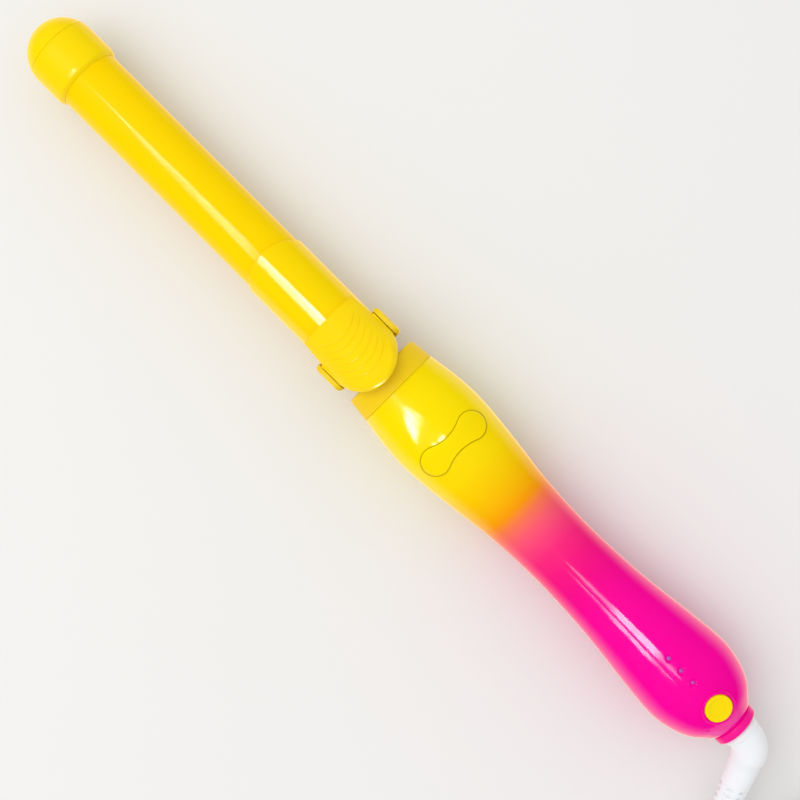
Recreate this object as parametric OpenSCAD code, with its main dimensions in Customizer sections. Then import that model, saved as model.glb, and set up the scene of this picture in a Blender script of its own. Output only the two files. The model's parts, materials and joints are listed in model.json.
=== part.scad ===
// Rotating curling iron: barrel with a sprung clamp, a motor handle, and a cord on a swivel.
// It lies along X with the tip at +X and the buttons up, resting on the two handle bulges.
// Every "station" is a distance back along the axis of the barrel, from a datum just ahead of the tip.

/* [Barrel] */
// Diameter of the heated barrel
barrel_d = 25.4; // [25.4:0.1:25.6]
// Wall of the barrel tube
barrel_wall = 1; // [0.8:0.1:1.2]
// Radius of the cool tip
tip_r = 14.2; // [14:0.1:14.6]
// Station where the barrel comes out of the cool tip
tip_len = 28.8; // [28.5:0.1:30]
// Lean of the clamp and barrel about the axis, in degrees
barrel_turn = 4; // [0:1:8]

/* [Clamp] */
// Station of the front edge of the clamp
clamp_front = 124.5; // [120:0.5:128]
// Thickness of the clamp metal
clamp_t = 0.5; // [0.4:0.05:0.55]
// Station of the front edge of the thumb lever
lever_front = 159.5; // [158:0.5:161]
// Half the width of the thumb lever at its widest
lever_half = 14.2; // [14:0.05:14.2]
// Slope of the thumb lever, in degrees
lever_rise = 17; // [16:0.5:18]

/* [Handle] */
// Wall of the handle shells
wall = 2; // [1.8:0.1:2]
// Station where the nose collar starts
nose_front = 187.3; // [187:0.1:187.6]
// Station where the handle shells start
shell_front = 196.7; // [196.6:0.1:196.8]
// Diameter of the power button
button_d = 11; // [10.5:0.5:12]
// Radius of the two lobes of the rocker button
lobe_r = 5.6; // [5.2:0.1:5.8]
// Clearance round the rocker button
rocker_gap = 0.45; // [0.4:0.05:0.6]

/* [Cord] */
// Diameter of the cord
cord_d = 6; // [5.5:0.1:6]
// Distance from one turn of the coil to the next
turn_pitch = 6.2; // [6.2:0.1:6.4]

/* [Hidden] */
$fn = 72;

// Frame: the iron is centred along X and stands on z = 0. tip_x is where station 0 lies
body_len = 381.3;
tip_front = 1.1;
tip_x = (body_len + tip_front) / 2;
axis_z = 20;

barrel_r = barrel_d / 2;
bore_r = barrel_r - barrel_wall;
tube_front = 20;
tube_back = 172;
dome_mid = tip_front + tip_r;
dome_seam = 12.2;
tip_screw_r = 1.5;
fuse_r = 2.2;
sensor_r = 1.4;

// Clamp hinge, as a station and a height over the axis
pivot_at = 175.4;
pivot_up = 5;
shoulder_r = 1.5;
clamp_in = barrel_r + 0.3;
clamp_out = clamp_in + clamp_t;
clamp_back = 167;
lug_front = 168.8;
lug_back = 182.1;
lug_face = 16.4;
lug_in = lever_half + 0.3;
cheek_in = 13;
cheek_r = 5.2;
hub_half = 12.2;
lever_screw_r = 1;
lever_screw_at = 164.5;
lever_screw_turn = 28;
neck_r = 9.5;
neck_back = 195.2;
spring_at = 182;
spring_seat = 10.3;
spring_top = 19.5;

// Drive train, by station
shaft_r = 5;
wire_r = 3;
shaft_front = 176;
shaft_back = 281;
gear_front = 206;
gear_w = 6;
gear_m = 0.75;
gear_teeth = 18;
pinion_teeth = 12;
tooth_play = 0.15;
motor_drop = gear_m * (gear_teeth + pinion_teeth) / 2;
motor_front = 215;
gearbox_len = 9;
motor_len = 12;
bearing_r = 12;
rear_bearing_r = 11;
ring_r = 8.5;
ring_w = 3.5;
ring_at = [247, 253, 259];

// Outline of the handle: station and radius, joined by a smooth curve
handle_curve = [[196.7, 17.6], [208, 19.3], [219.5, 20], [231, 19.3], [246, 17.6], [262, 15.6],
    [285, 14.55], [308, 15.4], [323.5, 16.9], [339, 18.8], [353.5, 20], [362, 18.8], [369.5, 15.9],
    [375.5, 11.6], [378.8, 9.2]];
shell_back = 378.8;
collar_bore = 4.8;
skirt_r = 7;

// Buttons and lamps
rocker_at = 226;
lobe_y = 9.5;
waist_half = 3.55;
waist_r = 17.4;
rocker_board_low = 8;
rocker_board_top = 9.5;
rocker_pivot_up = 14.2;
rocker_pin_r = 1;
rocker_under_r = 16.5;
button_at = 365.4;
button_tilt = 18;
button_up = 17.7;
lens_at = [338.9, 345.2, 351.3];
post_at = [217.5, 234.5];
post_y = 7;
board_up = 1.5;
board_t = 1.6;
board_half = 7;
board_top = board_up + board_t;
board_screw_at = [292, 356];
screw_at = [[240, 11.8], [330, 10.6]];
boss_r = 3.2;
head_up = -7;

// Cord swivel, strain relief and cord
swivel_r = 4.5;
bend_at = 384.3;
bend_r = 9;
bend_tube_r = 6.8;
bend_turn = 65;
bend_roll = 18;
sleeve_len = 47;
cord_r = cord_d / 2;
tie_t = 1;
coil_radii = [24.5, 30.7, 36.9, 43.1];
coil_center = [-276.45, 18.4];
coil_in = coil_radii[0] - turn_pitch / 2;
coil_out = coil_radii[3] + turn_pitch / 2;
// Route of the cord from the sleeve to the coil, then from the coil to the plug
lead_route = [[-221.15, 45.5, 5.2], [-223.65, 50.5, 4], [-227.85, 55.2, 3.3], [-233.25, 59, 3.1],
    [-239.45, 61.4, 3.1], [-247.45, 61.9, 3.2], [-256.45, 61.8, 3.5], [-266.45, 61.6, 3.9],
    [-276.45, 61.5, 4.1]];
tail_route = [[-276.45, 61.5, 16.5], [-284.45, 61.5, 16.2], [-292.45, 61.5, 14.9], [-300.45, 61.5, 12.6],
    [-308.45, 61.5, 10.3], [-315.45, 61.5, 8.7], [-322.45, 61.5, 8]];
plug_at = [-322.45, 61.5, 8];
plug_len = 34;
plug_w = 22;
plug_h = 16;

// ---- Helpers ----

// Stations run along z, x points up and y stays the row's y
module along(turn = 0) {
    translate([tip_x, 0, axis_z]) rotate([-turn, 0, 0]) rotate([0, -90, 0]) children();
}

// The row's own directions, centred on the axis at one station
module at(station, turn = 0) {
    translate([tip_x, 0, axis_z]) rotate([-turn, 0, 0]) translate([-station, 0, 0]) children();
}

module rod(r, s0, s1) {
    translate([0, 0, s0]) cylinder(r = r, h = s1 - s0);
}

module ring(r_in, r_out, s0, s1) {
    difference() {
        rod(r_out, s0, s1);
        rod(r_in, s0 - 1, s1 + 1);
    }
}

// A cylinder along y, used for hinge pins and their bores
module cross_rod(r, y0, y1) {
    translate([0, y0, 0]) rotate([-90, 0, 0]) cylinder(r = r, h = y1 - y0);
}

module rounded_plate(l, w, r) {
    for (x = [-l / 2 + r, l / 2 - r], y = [-w / 2 + r, w / 2 - r]) translate([x, y]) circle(r = r);
    square([l, w - 2 * r], center = true);
    square([l - 2 * r, w], center = true);
}

// Slope of the curve through the points at point i
function slope(p, i) = let (a = max(i - 1, 0), b = min(i + 1, len(p) - 1))
    (p[b][1] - p[a][1]) / (p[b][0] - p[a][0]);

// Value of the smooth curve at s, inside the span that starts at point i
function span_value(p, i, s) = let (w = p[i + 1][0] - p[i][0], t = (s - p[i][0]) / w)
    (2 * t * t * t - 3 * t * t + 1) * p[i][1] + (t * t * t - 2 * t * t + t) * w * slope(p, i)
    + (3 * t * t - 2 * t * t * t) * p[i + 1][1] + (t * t * t - t * t) * w * slope(p, i + 1);

// Points of the curve, a few in each span, moved in by inset but never under low
function curve_points(p, steps, inset, low) = [
    for (i = [0 : len(p) - 2], k = [0 : steps - 1])
        let (s = p[i][0] + (p[i + 1][0] - p[i][0]) * k / steps)
            [max(low, span_value(p, i, s) - inset), s],
    [max(low, p[len(p) - 1][1] - inset), p[len(p) - 1][0]]];

// Solid of the handle's outline, moved in by inset
module handle_solid(inset, low) {
    rim = curve_points(handle_curve, 3, inset, low);
    rotate_extrude() polygon(concat([[0, shell_front]], rim, [[0, shell_back]]));
}

// Half of the handle wall; the top half is the one over the axis
module half_wall(top) {
    outer = curve_points(handle_curve, 4, 0, 0);
    inner = curve_points(handle_curve, 3, wall, skirt_r);
    last = len(inner) - 1;
    inner_back = [for (i = [0 : last]) inner[last - i]];
    rotate([0, 0, top ? -90 : 90]) rotate_extrude(angle = 180) polygon(concat(outer, inner_back));
}

// A flat rib across the handle, up to a height over the axis
module slab(s0, s1, low, high) {
    translate([low, -25, s0]) cube([high - low, 50, s1 - s0]);
}

// Ribs are trimmed to the inside of the wall
module ribs() {
    intersection() {
        handle_solid(wall / 2, skirt_r);
        children();
    }
}

// Rounded waist between the two lobes; grow widens it all round
module peanut(grow) {
    waist_y = lobe_y * waist_r / (waist_r + lobe_r);
    difference() {
        union() {
            for (y = [-lobe_y, lobe_y]) translate([0, y]) circle(r = lobe_r + grow);
            square([2 * lobe_r, 2 * waist_y], center = true);
        }
        for (x = [-1, 1]) translate([x * (waist_half + waist_r), 0]) circle(r = waist_r - grow);
    }
}

// Involute angle at radius r, in degrees
function roll(base_r, r) = let (t = sqrt(max(0, r * r / (base_r * base_r) - 1))) t * 180 / PI - atan(t);

// Half the angle that a tooth takes at radius r
function tooth_half(teeth, r) = let (p = gear_m * teeth / 2, b = p * cos(20))
    90 / teeth - tooth_play / p * 90 / PI + roll(b, p) - roll(b, max(r, b));

module gear(teeth, w, hole_r, start) {
    pitch_r = gear_m * teeth / 2;
    root_r = pitch_r - 1.25 * gear_m;
    tip_radius = pitch_r + 0.85 * gear_m;
    base_r = pitch_r * cos(20);
    radii = [root_r, base_r, (base_r + tip_radius) / 2, (3 * tip_radius + base_r) / 4, tip_radius];
    flank = [for (r = radii) if (r >= root_r) [r, tooth_half(teeth, r)]];
    linear_extrude(height = w) difference() {
        polygon([for (i = [0 : teeth - 1], side = [-1, 1], k = [0 : len(flank) - 1])
            let (f = flank[side < 0 ? k : len(flank) - 1 - k], a = start + i * 360 / teeth + side * f[1])
                f[0] * [cos(a), sin(a)]]);
        circle(r = hole_r);
    }
}

// Unit vector, and a tube swept along a route of points
function unit(v) = v / norm(v);
function heading(p, i) = unit(p[min(i + 1, len(p) - 1)] - p[max(i - 1, 0)]);

module swept_tube(route, r, sides) {
    n = len(route);
    points = [for (i = [0 : n - 1])
        let (d = heading(route, i), u = unit(cross(d, [0.03, 0.05, 1])), v = cross(u, d))
        for (k = [0 : sides - 1]) route[i] + r * (cos(k * 360 / sides) * u + sin(k * 360 / sides) * v)];
    walls = [for (i = [0 : n - 2], k = [0 : sides - 1]) let (j = (k + 1) % sides)
        for (f = [[i * sides + k, i * sides + j, (i + 1) * sides + j],
            [i * sides + k, (i + 1) * sides + j, (i + 1) * sides + k]]) f];
    front = [for (k = [0 : sides - 1]) sides - 1 - k];
    back = [for (k = [0 : sides - 1]) (n - 1) * sides + k];
    polyhedron(points = points, faces = concat(walls, [front], [back]));
}

// ---- Cool tip and barrel ----

module tip_dome() color("gold") along() {
    difference() {
        intersection() {
            translate([0, 0, dome_mid]) sphere(r = tip_r);
            rod(tip_r + 1, 0, dome_seam);
        }
        translate([0, 0, dome_mid]) sphere(r = tip_r - 1.8);
    }
    ring(10.6, 11.8, 10, 16);
}

module tip_ring() color("gold") along() {
    difference() {
        union() {
            intersection() {
                translate([0, 0, dome_mid]) sphere(r = tip_r);
                rod(tip_r + 1, dome_seam, dome_mid);
            }
            rod(tip_r, dome_mid, tip_len - 3);
            rotate_extrude() polygon([[0, tip_len - 3], [tip_r, tip_len - 3], [tip_r - 0.15, tip_len - 1.6],
                [tip_r - 0.6, tip_len - 0.6], [tip_r - 1.2, tip_len], [0, tip_len]]);
        }
        rod(11.8, dome_seam - 1, 18);
        rod(barrel_r, tube_front, tip_len + 1);
        rod(tip_screw_r, 17, 21);
    }
}

module tip_screw() color("silver") along() {
    rod(3, 15.8, 18);
    rod(tip_screw_r, 18, 27);
}

module tip_plug() color("ivory") along() ring(tip_screw_r, bore_r, tube_front, 27);

module barrel_tube() color("gold") along() ring(bore_r, barrel_r, tube_front, tube_back);

// Half-round spreader, hollow to keep it light, with the flat face towards the heater
module spreader(side, hole_r) {
    difference() {
        rod(bore_r, 30, 156);
        translate([side < 0 ? -1.6 : -20, -20, 29]) cube([21.6, 40, 128]);
        translate([side * 6, 0, 0]) rod(hole_r, 29, 157);
        for (y = [-6, 6]) translate([side * 4.4, y, 0]) rod(2.2, 29, 157);
    }
}

module heat_spreader_upper() color("lightgrey") along(barrel_turn) spreader(1, fuse_r);

module heat_spreader_lower() color("lightgrey") along(barrel_turn) spreader(-1, sensor_r);

module ptc_heater() color("dimgrey") along(barrel_turn) translate([-1.6, -9, 34]) cube([3.2, 18, 116]);

module thermal_fuse() color("silver") along(barrel_turn) translate([6, 0, 0]) rod(fuse_r, 120, 132);

module thermistor() color("tan") along(barrel_turn) translate([-6, 0, 0]) rod(sensor_r, 100, 108);

module heater_leads() color("white") along(barrel_turn)
    for (y = [-1.2, 1.2]) translate([0, y, 0]) rod(0.9, 150, 258);

// ---- Barrel base, hinge and drive shaft ----

// Side lug seen from the side, with a round shoulder over the hinge screw
module lug_block() {
    intersection() {
        translate([-(lug_back - lug_front) / 2, -lug_face, -4.5])
            cube([lug_back - lug_front, 2 * lug_face, 14]);
        linear_extrude(height = 40, center = true) rounded_plate(lug_back - lug_front, 2 * lug_face, 1.6);
        rotate([90, 0, 0]) linear_extrude(height = 50, center = true)
            translate([0, 2.5]) rounded_plate(lug_back - lug_front, 14, 4);
    }
}

module barrel_base() color("gold") {
    mid = (lug_front + lug_back) / 2;
    difference() {
        union() {
            along(barrel_turn) {
                rod(bore_r, 158, tube_back);
                intersection() {
                    rod(barrel_r, tube_back, lug_back);
                    translate([-20, -hub_half, 160]) cube([40, 2 * hub_half, 40]);
                }
                rod(neck_r, lug_back - 1, neck_back);
            }
            at(mid, barrel_turn) lug_block();
            at(spring_at, barrel_turn) cylinder(r = 3.4, h = spring_seat);
        }
        along(barrel_turn) {
            rod(shaft_r, shaft_front, neck_back + 1);
            rod(wire_r, 150, shaft_front + 1);
        }
        at(mid, barrel_turn) for (side = [-1, 1]) {
            translate([-15, side > 0 ? hub_half : -lug_in, -1.7]) cube([30, lug_in - hub_half, 21]);
        }
        at(spring_at, barrel_turn) translate([0, 0, spring_seat]) cylinder(r = 3.8, h = 10);
        at(pivot_at, barrel_turn) translate([0, 0, pivot_up]) for (side = [0, 1]) mirror([0, side, 0]) {
            cross_rod(1.25, 7, hub_half + 0.5);
            cross_rod(shoulder_r, lug_in - 0.5, lug_face + 1);
            cross_rod(2.6, lug_face - 1, lug_face + 1);
        }
    }
    along(barrel_turn) ring(wire_r, bore_r, 158, tube_back);
}

module pivot_screws() color("silver") at(pivot_at, barrel_turn) translate([0, 0, pivot_up])
    for (side = [0, 1]) mirror([0, side, 0]) {
        cross_rod(1.25, 7, hub_half);
        cross_rod(shoulder_r, hub_half, lug_face - 1);
        difference() {
            cross_rod(2.5, lug_face - 1, lug_face - 0.1);
            translate([-3, lug_face - 0.5, -0.3]) cube([6, 1, 0.6]);
        }
    }

module drive_shaft() color("silver") along() difference() {
    rod(shaft_r, shaft_front, shaft_back);
    rod(wire_r, shaft_front - 1, shaft_back + 1);
    ring(shaft_r - 0.5, shaft_r + 1, 276.6, 277.6);
}

module thrust_washer() color("silver") along() ring(shaft_r, 9, neck_back, neck_back + 1);

module drive_gear() color("ivory") along() translate([0, 0, gear_front])
    gear(gear_teeth, gear_w, shaft_r, 180);

module slip_ring_sleeve() color("dimgrey") along() ring(shaft_r, ring_r - 0.5, 244, 265);

module slip_rings() color("goldenrod") along()
    for (s = ring_at) ring(ring_r - 0.5, ring_r, s, s + ring_w);

module retaining_clip() color("silver") along() ring(shaft_r - 0.5, 7.5, 276.6, 277.6);

// ---- Clamp and thumb lever ----

// Bore or screw through the clamp and the lever, square to the round surface
module lever_screw_rods(r, u0, u1) {
    for (a = [-lever_screw_turn, lever_screw_turn])
        at(lever_screw_at, barrel_turn) rotate([a, 0, 0]) translate([0, 0, u0]) cylinder(r = r, h = u1 - u0);
}

module clamp_spoon() color("gold") difference() {
    nose_r = 20.1;
    intersection() {
        along(barrel_turn) rotate([0, 0, -90]) rotate_extrude(angle = 180)
            polygon([[clamp_in, clamp_front - 1], [clamp_out, clamp_front - 1],
                [clamp_out, clamp_back], [clamp_in, clamp_back]]);
        at(clamp_front + nose_r, barrel_turn) linear_extrude(height = 30) {
            circle(r = nose_r);
            translate([-30, -nose_r]) square([30, 2 * nose_r]);
        }
    }
    lever_screw_rods(lever_screw_r, 12, 16);
}

// Outline of the lever from above, seen from the middle of its round end
module lever_plan() {
    circle(r = lever_half);
    front = pivot_at + 2.3 - lever_front;
    polygon([[0, -lever_half], [2.7, -lever_half], [front, -12.9], [front, 12.9], [2.7, lever_half],
        [0, lever_half]]);
}

// Skin of the lever: a saddle over the clamp that runs up into a sloping arch
module lever_skin() {
    end_mid = pivot_at + 2.3;
    skin_out = clamp_out + 1.5;
    difference() {
        intersection() {
            union() {
                along(barrel_turn) rod(skin_out, lever_front - 1, 170);
                at(163, barrel_turn) rotate([0, lever_rise, 0]) rotate([0, -90, 0])
                    cylinder(r1 = skin_out, r2 = skin_out + 0.8, h = 45);
            }
            at(end_mid, barrel_turn) linear_extrude(height = 40) lever_plan();
        }
        along(barrel_turn) rod(clamp_out, lever_front - 6, 171);
        at(163, barrel_turn) rotate([0, lever_rise, 0]) rotate([0, -90, 0])
            translate([0, 0, -10]) cylinder(r1 = clamp_out, r2 = clamp_out + 0.7, h = 60);
        lever_screw_rods(lever_screw_r, 12, skin_out - 0.5);
    }
}

module thumb_lever() color("gold") {
    difference() {
        union() {
            lever_skin();
            at(pivot_at, barrel_turn) translate([0, 0, pivot_up]) for (side = [0, 1]) mirror([0, side, 0]) {
                cross_rod(cheek_r, cheek_in, lever_half);
                translate([-cheek_r, cheek_in, 0]) cube([2 * cheek_r, lever_half - cheek_in, 5]);
            }
        }
        at(pivot_at, barrel_turn) translate([0, 0, pivot_up]) for (side = [0, 1]) mirror([0, side, 0])
            cross_rod(shoulder_r + 0.05, cheek_in - 1, lever_half + 1);
    }
    at(spring_at, barrel_turn) translate([0, 0, spring_top]) cylinder(r = 3.3, h = 1.6);
}

module lever_screws() color("silver") lever_screw_rods(lever_screw_r, clamp_in, clamp_out + 1);

module clamp_spring() color("silver") {
    wire = 0.5;
    mean_r = 2.5;
    turns = 5;
    steps = 14;
    rise = spring_top - spring_seat - 2 * wire;
    at(spring_at, barrel_turn) swept_tube([for (i = [0 : turns * steps])
        let (t = i / (turns * steps), a = i * 360 / steps, f = min(1, max(0, (t - 0.12) / 0.76)))
            [mean_r * cos(a), mean_r * sin(a), spring_seat + wire + rise * f]], wire, 6);
}

// ---- Handle shells ----

module top_bosses() {
    for (p = screw_at, side = [-1, 1]) translate([0, side * p[1], p[0]]) rotate([0, 90, 0])
        cylinder(r = boss_r, h = 12);
}

// Hole and raised ring for the power button, square to its own axis
module button_place() {
    at(button_at) translate([0, 0, button_up]) rotate([0, -button_tilt, 0]) children();
}

module motor_shape(grow, s0, s1) {
    translate([-motor_drop, 0, s0]) intersection() {
        cylinder(r = 6 + grow, h = s1 - s0);
        translate([-5 - grow, -10, -1]) cube([10 + 2 * grow, 20, s1 - s0 + 2]);
    }
}

module gearbox_shape() {
    translate([-motor_drop - 5, -6, motor_front]) cube([10, 12, gearbox_len]);
}

module handle_top_shell() color("hotpink") {
    difference() {
        union() {
            along() {
                half_wall(true);
                ribs() {
                    difference() {
                        slab(197.5, 203, 0, 25);
                        rod(bearing_r, 190, 210);
                    }
                    difference() {
                        slab(270.5, 275.5, 0, 25);
                        rod(rear_bearing_r, 260, 280);
                    }
                    difference() {
                        slab(372.3, 374, 0, 25);
                        rod(8, 370, 376);
                    }
                    top_bosses();
                    for (s = post_at, y = [-post_y, post_y])
                        translate([9.5, y, s]) rotate([0, 90, 0]) cylinder(r = 1.6, h = 10);
                }
            }
            button_place() translate([0, 0, -3]) cylinder(r = button_d / 2 + 1.25, h = 3.2);
        }
        at(rocker_at) linear_extrude(height = 30) peanut(rocker_gap);
        button_place() translate([0, 0, -6]) cylinder(r = button_d / 2 + 0.35, h = 12);
        for (s = lens_at) at(s) cylinder(r = 1, h = 30);
        for (p = screw_at, side = [-1, 1])
            at(p[0]) translate([0, side * p[1], -1]) cylinder(r = 1.25, h = 9);
        for (s = post_at, y = [-post_y, post_y]) at(s) translate([0, y, 8]) cylinder(r = 0.8, h = 4);
    }
}

module handle_bottom_shell() color("hotpink") {
    difference() {
        along() {
            half_wall(false);
            ribs() {
                difference() {
                    slab(197.5, 203, -25, 0);
                    rod(bearing_r, 190, 210);
                }
                difference() {
                    union() {
                        slab(217, 219, -25, -motor_drop);
                        slab(232, 234, -25, -motor_drop);
                    }
                    gearbox_shape();
                    motor_shape(0, motor_front + gearbox_len, 240);
                }
                slab(246, 247.5, -25, -12.2);
                slab(261, 262.5, -25, -12.2);
                difference() {
                    slab(270.5, 275.5, -25, 0);
                    rod(rear_bearing_r, 260, 280);
                }
                difference() {
                    slab(368, 374, -25, 0);
                    rod(8, 366, 376);
                }
                mirror([1, 0, 0]) top_bosses();
                for (s = board_screw_at) translate([-20, 0, s]) rotate([0, 90, 0])
                    cylinder(r = 2.5, h = 20 + board_up);
            }
        }
        for (p = screw_at, side = [-1, 1]) at(p[0]) translate([0, side * p[1], 0]) {
            translate([0, 0, -12]) cylinder(r = 1.25, h = 13);
            translate([0, 0, head_up - 20]) cylinder(r = 2.3, h = 20);
        }
        for (s = board_screw_at) at(s) translate([0, 0, board_up - 7]) cylinder(r = 0.8, h = 8);
    }
}

module housing_screws() color("silver") for (p = screw_at, side = [-1, 1])
    at(p[0]) translate([0, side * p[1], head_up]) {
        cylinder(r = 1.25, h = 14);
        translate([0, 0, -2]) cylinder(r = 2.2, h = 2);
    }

module nose_collar() color("goldenrod") along() difference() {
    union() {
        rotate_extrude() polygon([[0, nose_front], [15.9, nose_front], [16.3, nose_front + 0.25],
            [16.55, nose_front + 0.8], [17.6, shell_front], [0, shell_front]]);
        rod(15.4, shell_front, 197.5);
    }
    rod(neck_r + 0.4, nose_front - 1, 198);
    rod(14, nose_front + 2.7, 198);
}

module end_collar() color("hotpink") along() difference() {
    union() {
        rod(skirt_r, 375.4, shell_back);
        rotate_extrude() polygon([[0, shell_back], [9.2, shell_back], [9.2, 380.5], [8.9, 381.1],
            [8.5, body_len], [0, body_len]]);
    }
    rod(collar_bore, 370, 390);
}

// ---- Bearings, motor and brushes ----

module front_bearing() color("ivory") along() ring(shaft_r + 0.05, bearing_r, 196.5, 204);

module rear_bearing() color("ivory") along() ring(shaft_r + 0.05, rear_bearing_r, 270.5, 275.5);

module motor_gearbox() color("goldenrod") along() difference() {
    gearbox_shape();
    translate([-motor_drop, 0, 0]) rod(1.56, motor_front - 1, motor_front + 5);
}

module motor_can() color("silver") along()
    motor_shape(0, motor_front + gearbox_len, motor_front + gearbox_len + motor_len);

module motor_shaft() color("silver") along() translate([-motor_drop, 0, 0]) rod(1.5, 205, motor_front + 4.5);

module drive_pinion() color("ivory") along() translate([-motor_drop, 0, gear_front])
    gear(pinion_teeth, gear_w, 1.5, 15);

module brush_block() color("dimgrey") along() difference() {
    translate([-12.2, -5, 245]) cube([2.6, 10, 19]);
    for (s = ring_at) translate([-13, -2, s + 0.5]) cube([5, 4, ring_w - 1]);
}

module brushes() color("black") along() for (s = ring_at)
    translate([-12.2, -2, s + 0.5]) cube([12.2 - ring_r - 0.3, 4, ring_w - 1]);

// ---- Boards and switches ----

module rocker_board() color("green") difference() {
    at((post_at[0] + post_at[1]) / 2) translate([-10.5, -12, rocker_board_low])
        cube([21, 24, rocker_board_top - rocker_board_low]);
    for (s = post_at, y = [-post_y, post_y]) at(s) translate([0, y, 5]) cylinder(r = 0.8, h = 6);
}

module rocker_switches() color("black")
    for (y = [-7.5, 7.5]) at(rocker_at) translate([0, y, rocker_board_top]) {
        translate([-3, -3, 0]) cube([6, 6, 2]);
        cylinder(r = 1.7, h = 3.1);
    }

module rocker_bracket() color("ivory") at(rocker_at) difference() {
    for (side = [0, 1]) mirror([side, 0, 0]) {
        translate([3, -1.8, rocker_board_top]) cube([1.5, 3.6, rocker_pivot_up - rocker_board_top]);
        translate([3, 0, rocker_pivot_up]) rotate([0, 90, 0]) cylinder(r = 1.8, h = 1.5);
        translate([-4.5, -1.8, rocker_board_top]) cube([4.6, 3.6, 1]);
    }
    translate([-6, 0, rocker_pivot_up]) rotate([0, 90, 0]) cylinder(r = rocker_pin_r + 0.05, h = 12);
}

module main_board() color("green") difference() {
    at(365.5) translate([0, -board_half, board_up]) cube([365.5 - 286, 2 * board_half, board_t]);
    for (s = board_screw_at) at(s) cylinder(r = 0.8, h = 6);
}

module board_screws() color("silver") {
    for (s = board_screw_at) at(s) translate([0, 0, board_top]) {
        cylinder(r = 1.6, h = 1);
        translate([0, 0, -6]) cylinder(r = 0.8, h = 6);
    }
    for (s = post_at, y = [-post_y, post_y]) at(s) translate([0, y, rocker_board_low - 1]) {
        cylinder(r = 1.6, h = 1);
        cylinder(r = 0.8, h = 4.5);
    }
}

module capacitor() color("steelblue") at(304) translate([-6, 0, board_top + 3.6]) rotate([0, 90, 0]) {
    difference() {
        cylinder(r = 4, h = 14);
        translate([3.6, -5, -1]) cube([5, 10, 16]);
    }
}

module relay() color("black") at(322) translate([-7, -5, board_top]) cube([14, 10, 7]);

module control_chips() color("black") {
    at(343) translate([-8, -4, board_up - 1.5]) cube([16, 8, 1.5]);
    at(318) translate([-5, -5, board_up - 4]) cube([10, 4.5, 4]);
    at(306) translate([-4, 0, board_up - 3]) cube([9, 5, 3]);
}

module power_switch() color("black") button_place() {
    translate([-3, -3, -10.7]) cube([6, 6, 3]);
    translate([0, 0, -7.7]) cylinder(r = 1.7, h = 0.5);
}

module switch_carrier() color("ivory") difference() {
    at(362.6) translate([-2.9, -4, board_top]) cube([6, 8, 12]);
    button_place() translate([-20, -10, -10.7]) cube([40, 20, 30]);
}

module indicator_leds() color("white")
    for (s = lens_at) at(s) translate([-1.2, -1, board_top]) cube([2.4, 2, 1.3]);

module indicator_lenses() color("plum") for (s = lens_at) at(s) intersection() {
    union() {
        translate([0, 0, 15]) cylinder(r = 1, h = 10);
        translate([0, 0, board_top + 1.5]) cylinder(r = 0.8, h = 12);
    }
    at_handle(s);
}

// The handle's outline as seen from one station
module at_handle(station) {
    translate([station, 0, 0]) rotate([0, -90, 0]) handle_solid(0.05, 1);
}

// ---- Buttons ----

module rocker_button() color("hotpink") {
    difference() {
        intersection() {
            at(rocker_at) linear_extrude(height = 30) peanut(0);
            along() handle_solid(-0.35, 1);
        }
        along() rod(rocker_under_r, 200, 250);
    }
    at(rocker_at) {
        translate([-2.6, -1.6, rocker_pivot_up - 1]) cube([5.2, 3.2, rocker_under_r + 2 - rocker_pivot_up]);
        translate([-4.4, 0, rocker_pivot_up]) rotate([0, 90, 0]) cylinder(r = rocker_pin_r, h = 8.8);
        for (y = [-7.5, 7.5]) translate([0, y, 13]) cylinder(r = 1.5, h = 2.6);
    }
}

module power_button() color("gold") button_place() {
    difference() {
        translate([0, 0, -4]) cylinder(r = button_d / 2, h = 4.8);
        translate([0, 0, 30.4]) sphere(r = 30);
    }
    translate([0, 0, -4.7]) cylinder(r = button_d / 2 + 0.6, h = 0.9);
    translate([0, 0, -6.5]) cylinder(r = 1.8, h = 3);
}

// ---- Cord swivel and cord ----

module cord_socket() color("ivory") along() difference() {
    rod(8, 366, 375.3);
    rod(6.8, 367.5, 373);
    rod(swivel_r + 0.1, 372, 376);
}

module contact_springs() color("goldenrod") along() {
    rod(1.2, 367.5, 368.3);
    translate([0, 3.5, 0]) rod(0.5, 367.5, 369.2);
}

module swivel_contacts() color("goldenrod") along() {
    rod(1, 368.7, 370.6);
    ring(3, 4, 369.6, 370.6);
}

// Start of the elbow, rolled so that the bend lies in the local XY plane
module at_bend() {
    at(bend_at) rotate([-bend_roll, 0, 0]) children();
}

// Sleeve outline: a taper with flex grooves towards the cord
module sleeve_profile() {
    groove_from = 17;
    groove_step = 3.5;
    steps = 9;
    function taper(t) = 6.5 - 2.75 * t / sleeve_len;
    polygon(concat([[0, -0.8], [bend_tube_r + 0.15, -0.8], [bend_tube_r + 0.15, 0.4], [taper(0), 1]],
        [for (i = [0 : steps - 1], k = [0 : 3])
            let (s = groove_from + i * groove_step + [0, 0.4, 1.2, 1.6][k])
            [taper(s) - ((k == 1 || k == 2) ? 0.7 : 0), s]],
        [[taper(sleeve_len), sleeve_len - 0.6], [taper(sleeve_len) - 0.6, sleeve_len], [0, sleeve_len]]));
}

module strain_relief() color("white") {
    along() {
        rod(swivel_r, 370.6, 382);
        rod(6.4, 370.6, 372.6);
        rod(7.3, body_len + 0.3, bend_at + 0.6);
    }
    at_bend() {
        translate([0, bend_r, 0]) rotate([0, 0, -90 - bend_turn]) rotate_extrude(angle = bend_turn)
            translate([bend_r, 0]) circle(r = bend_tube_r);
        translate([-bend_r * sin(bend_turn), bend_r * (1 - cos(bend_turn)), 0])
            rotate([0, 0, -bend_turn]) rotate([0, -90, 0]) rotate_extrude() sleeve_profile();
    }
}

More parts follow.
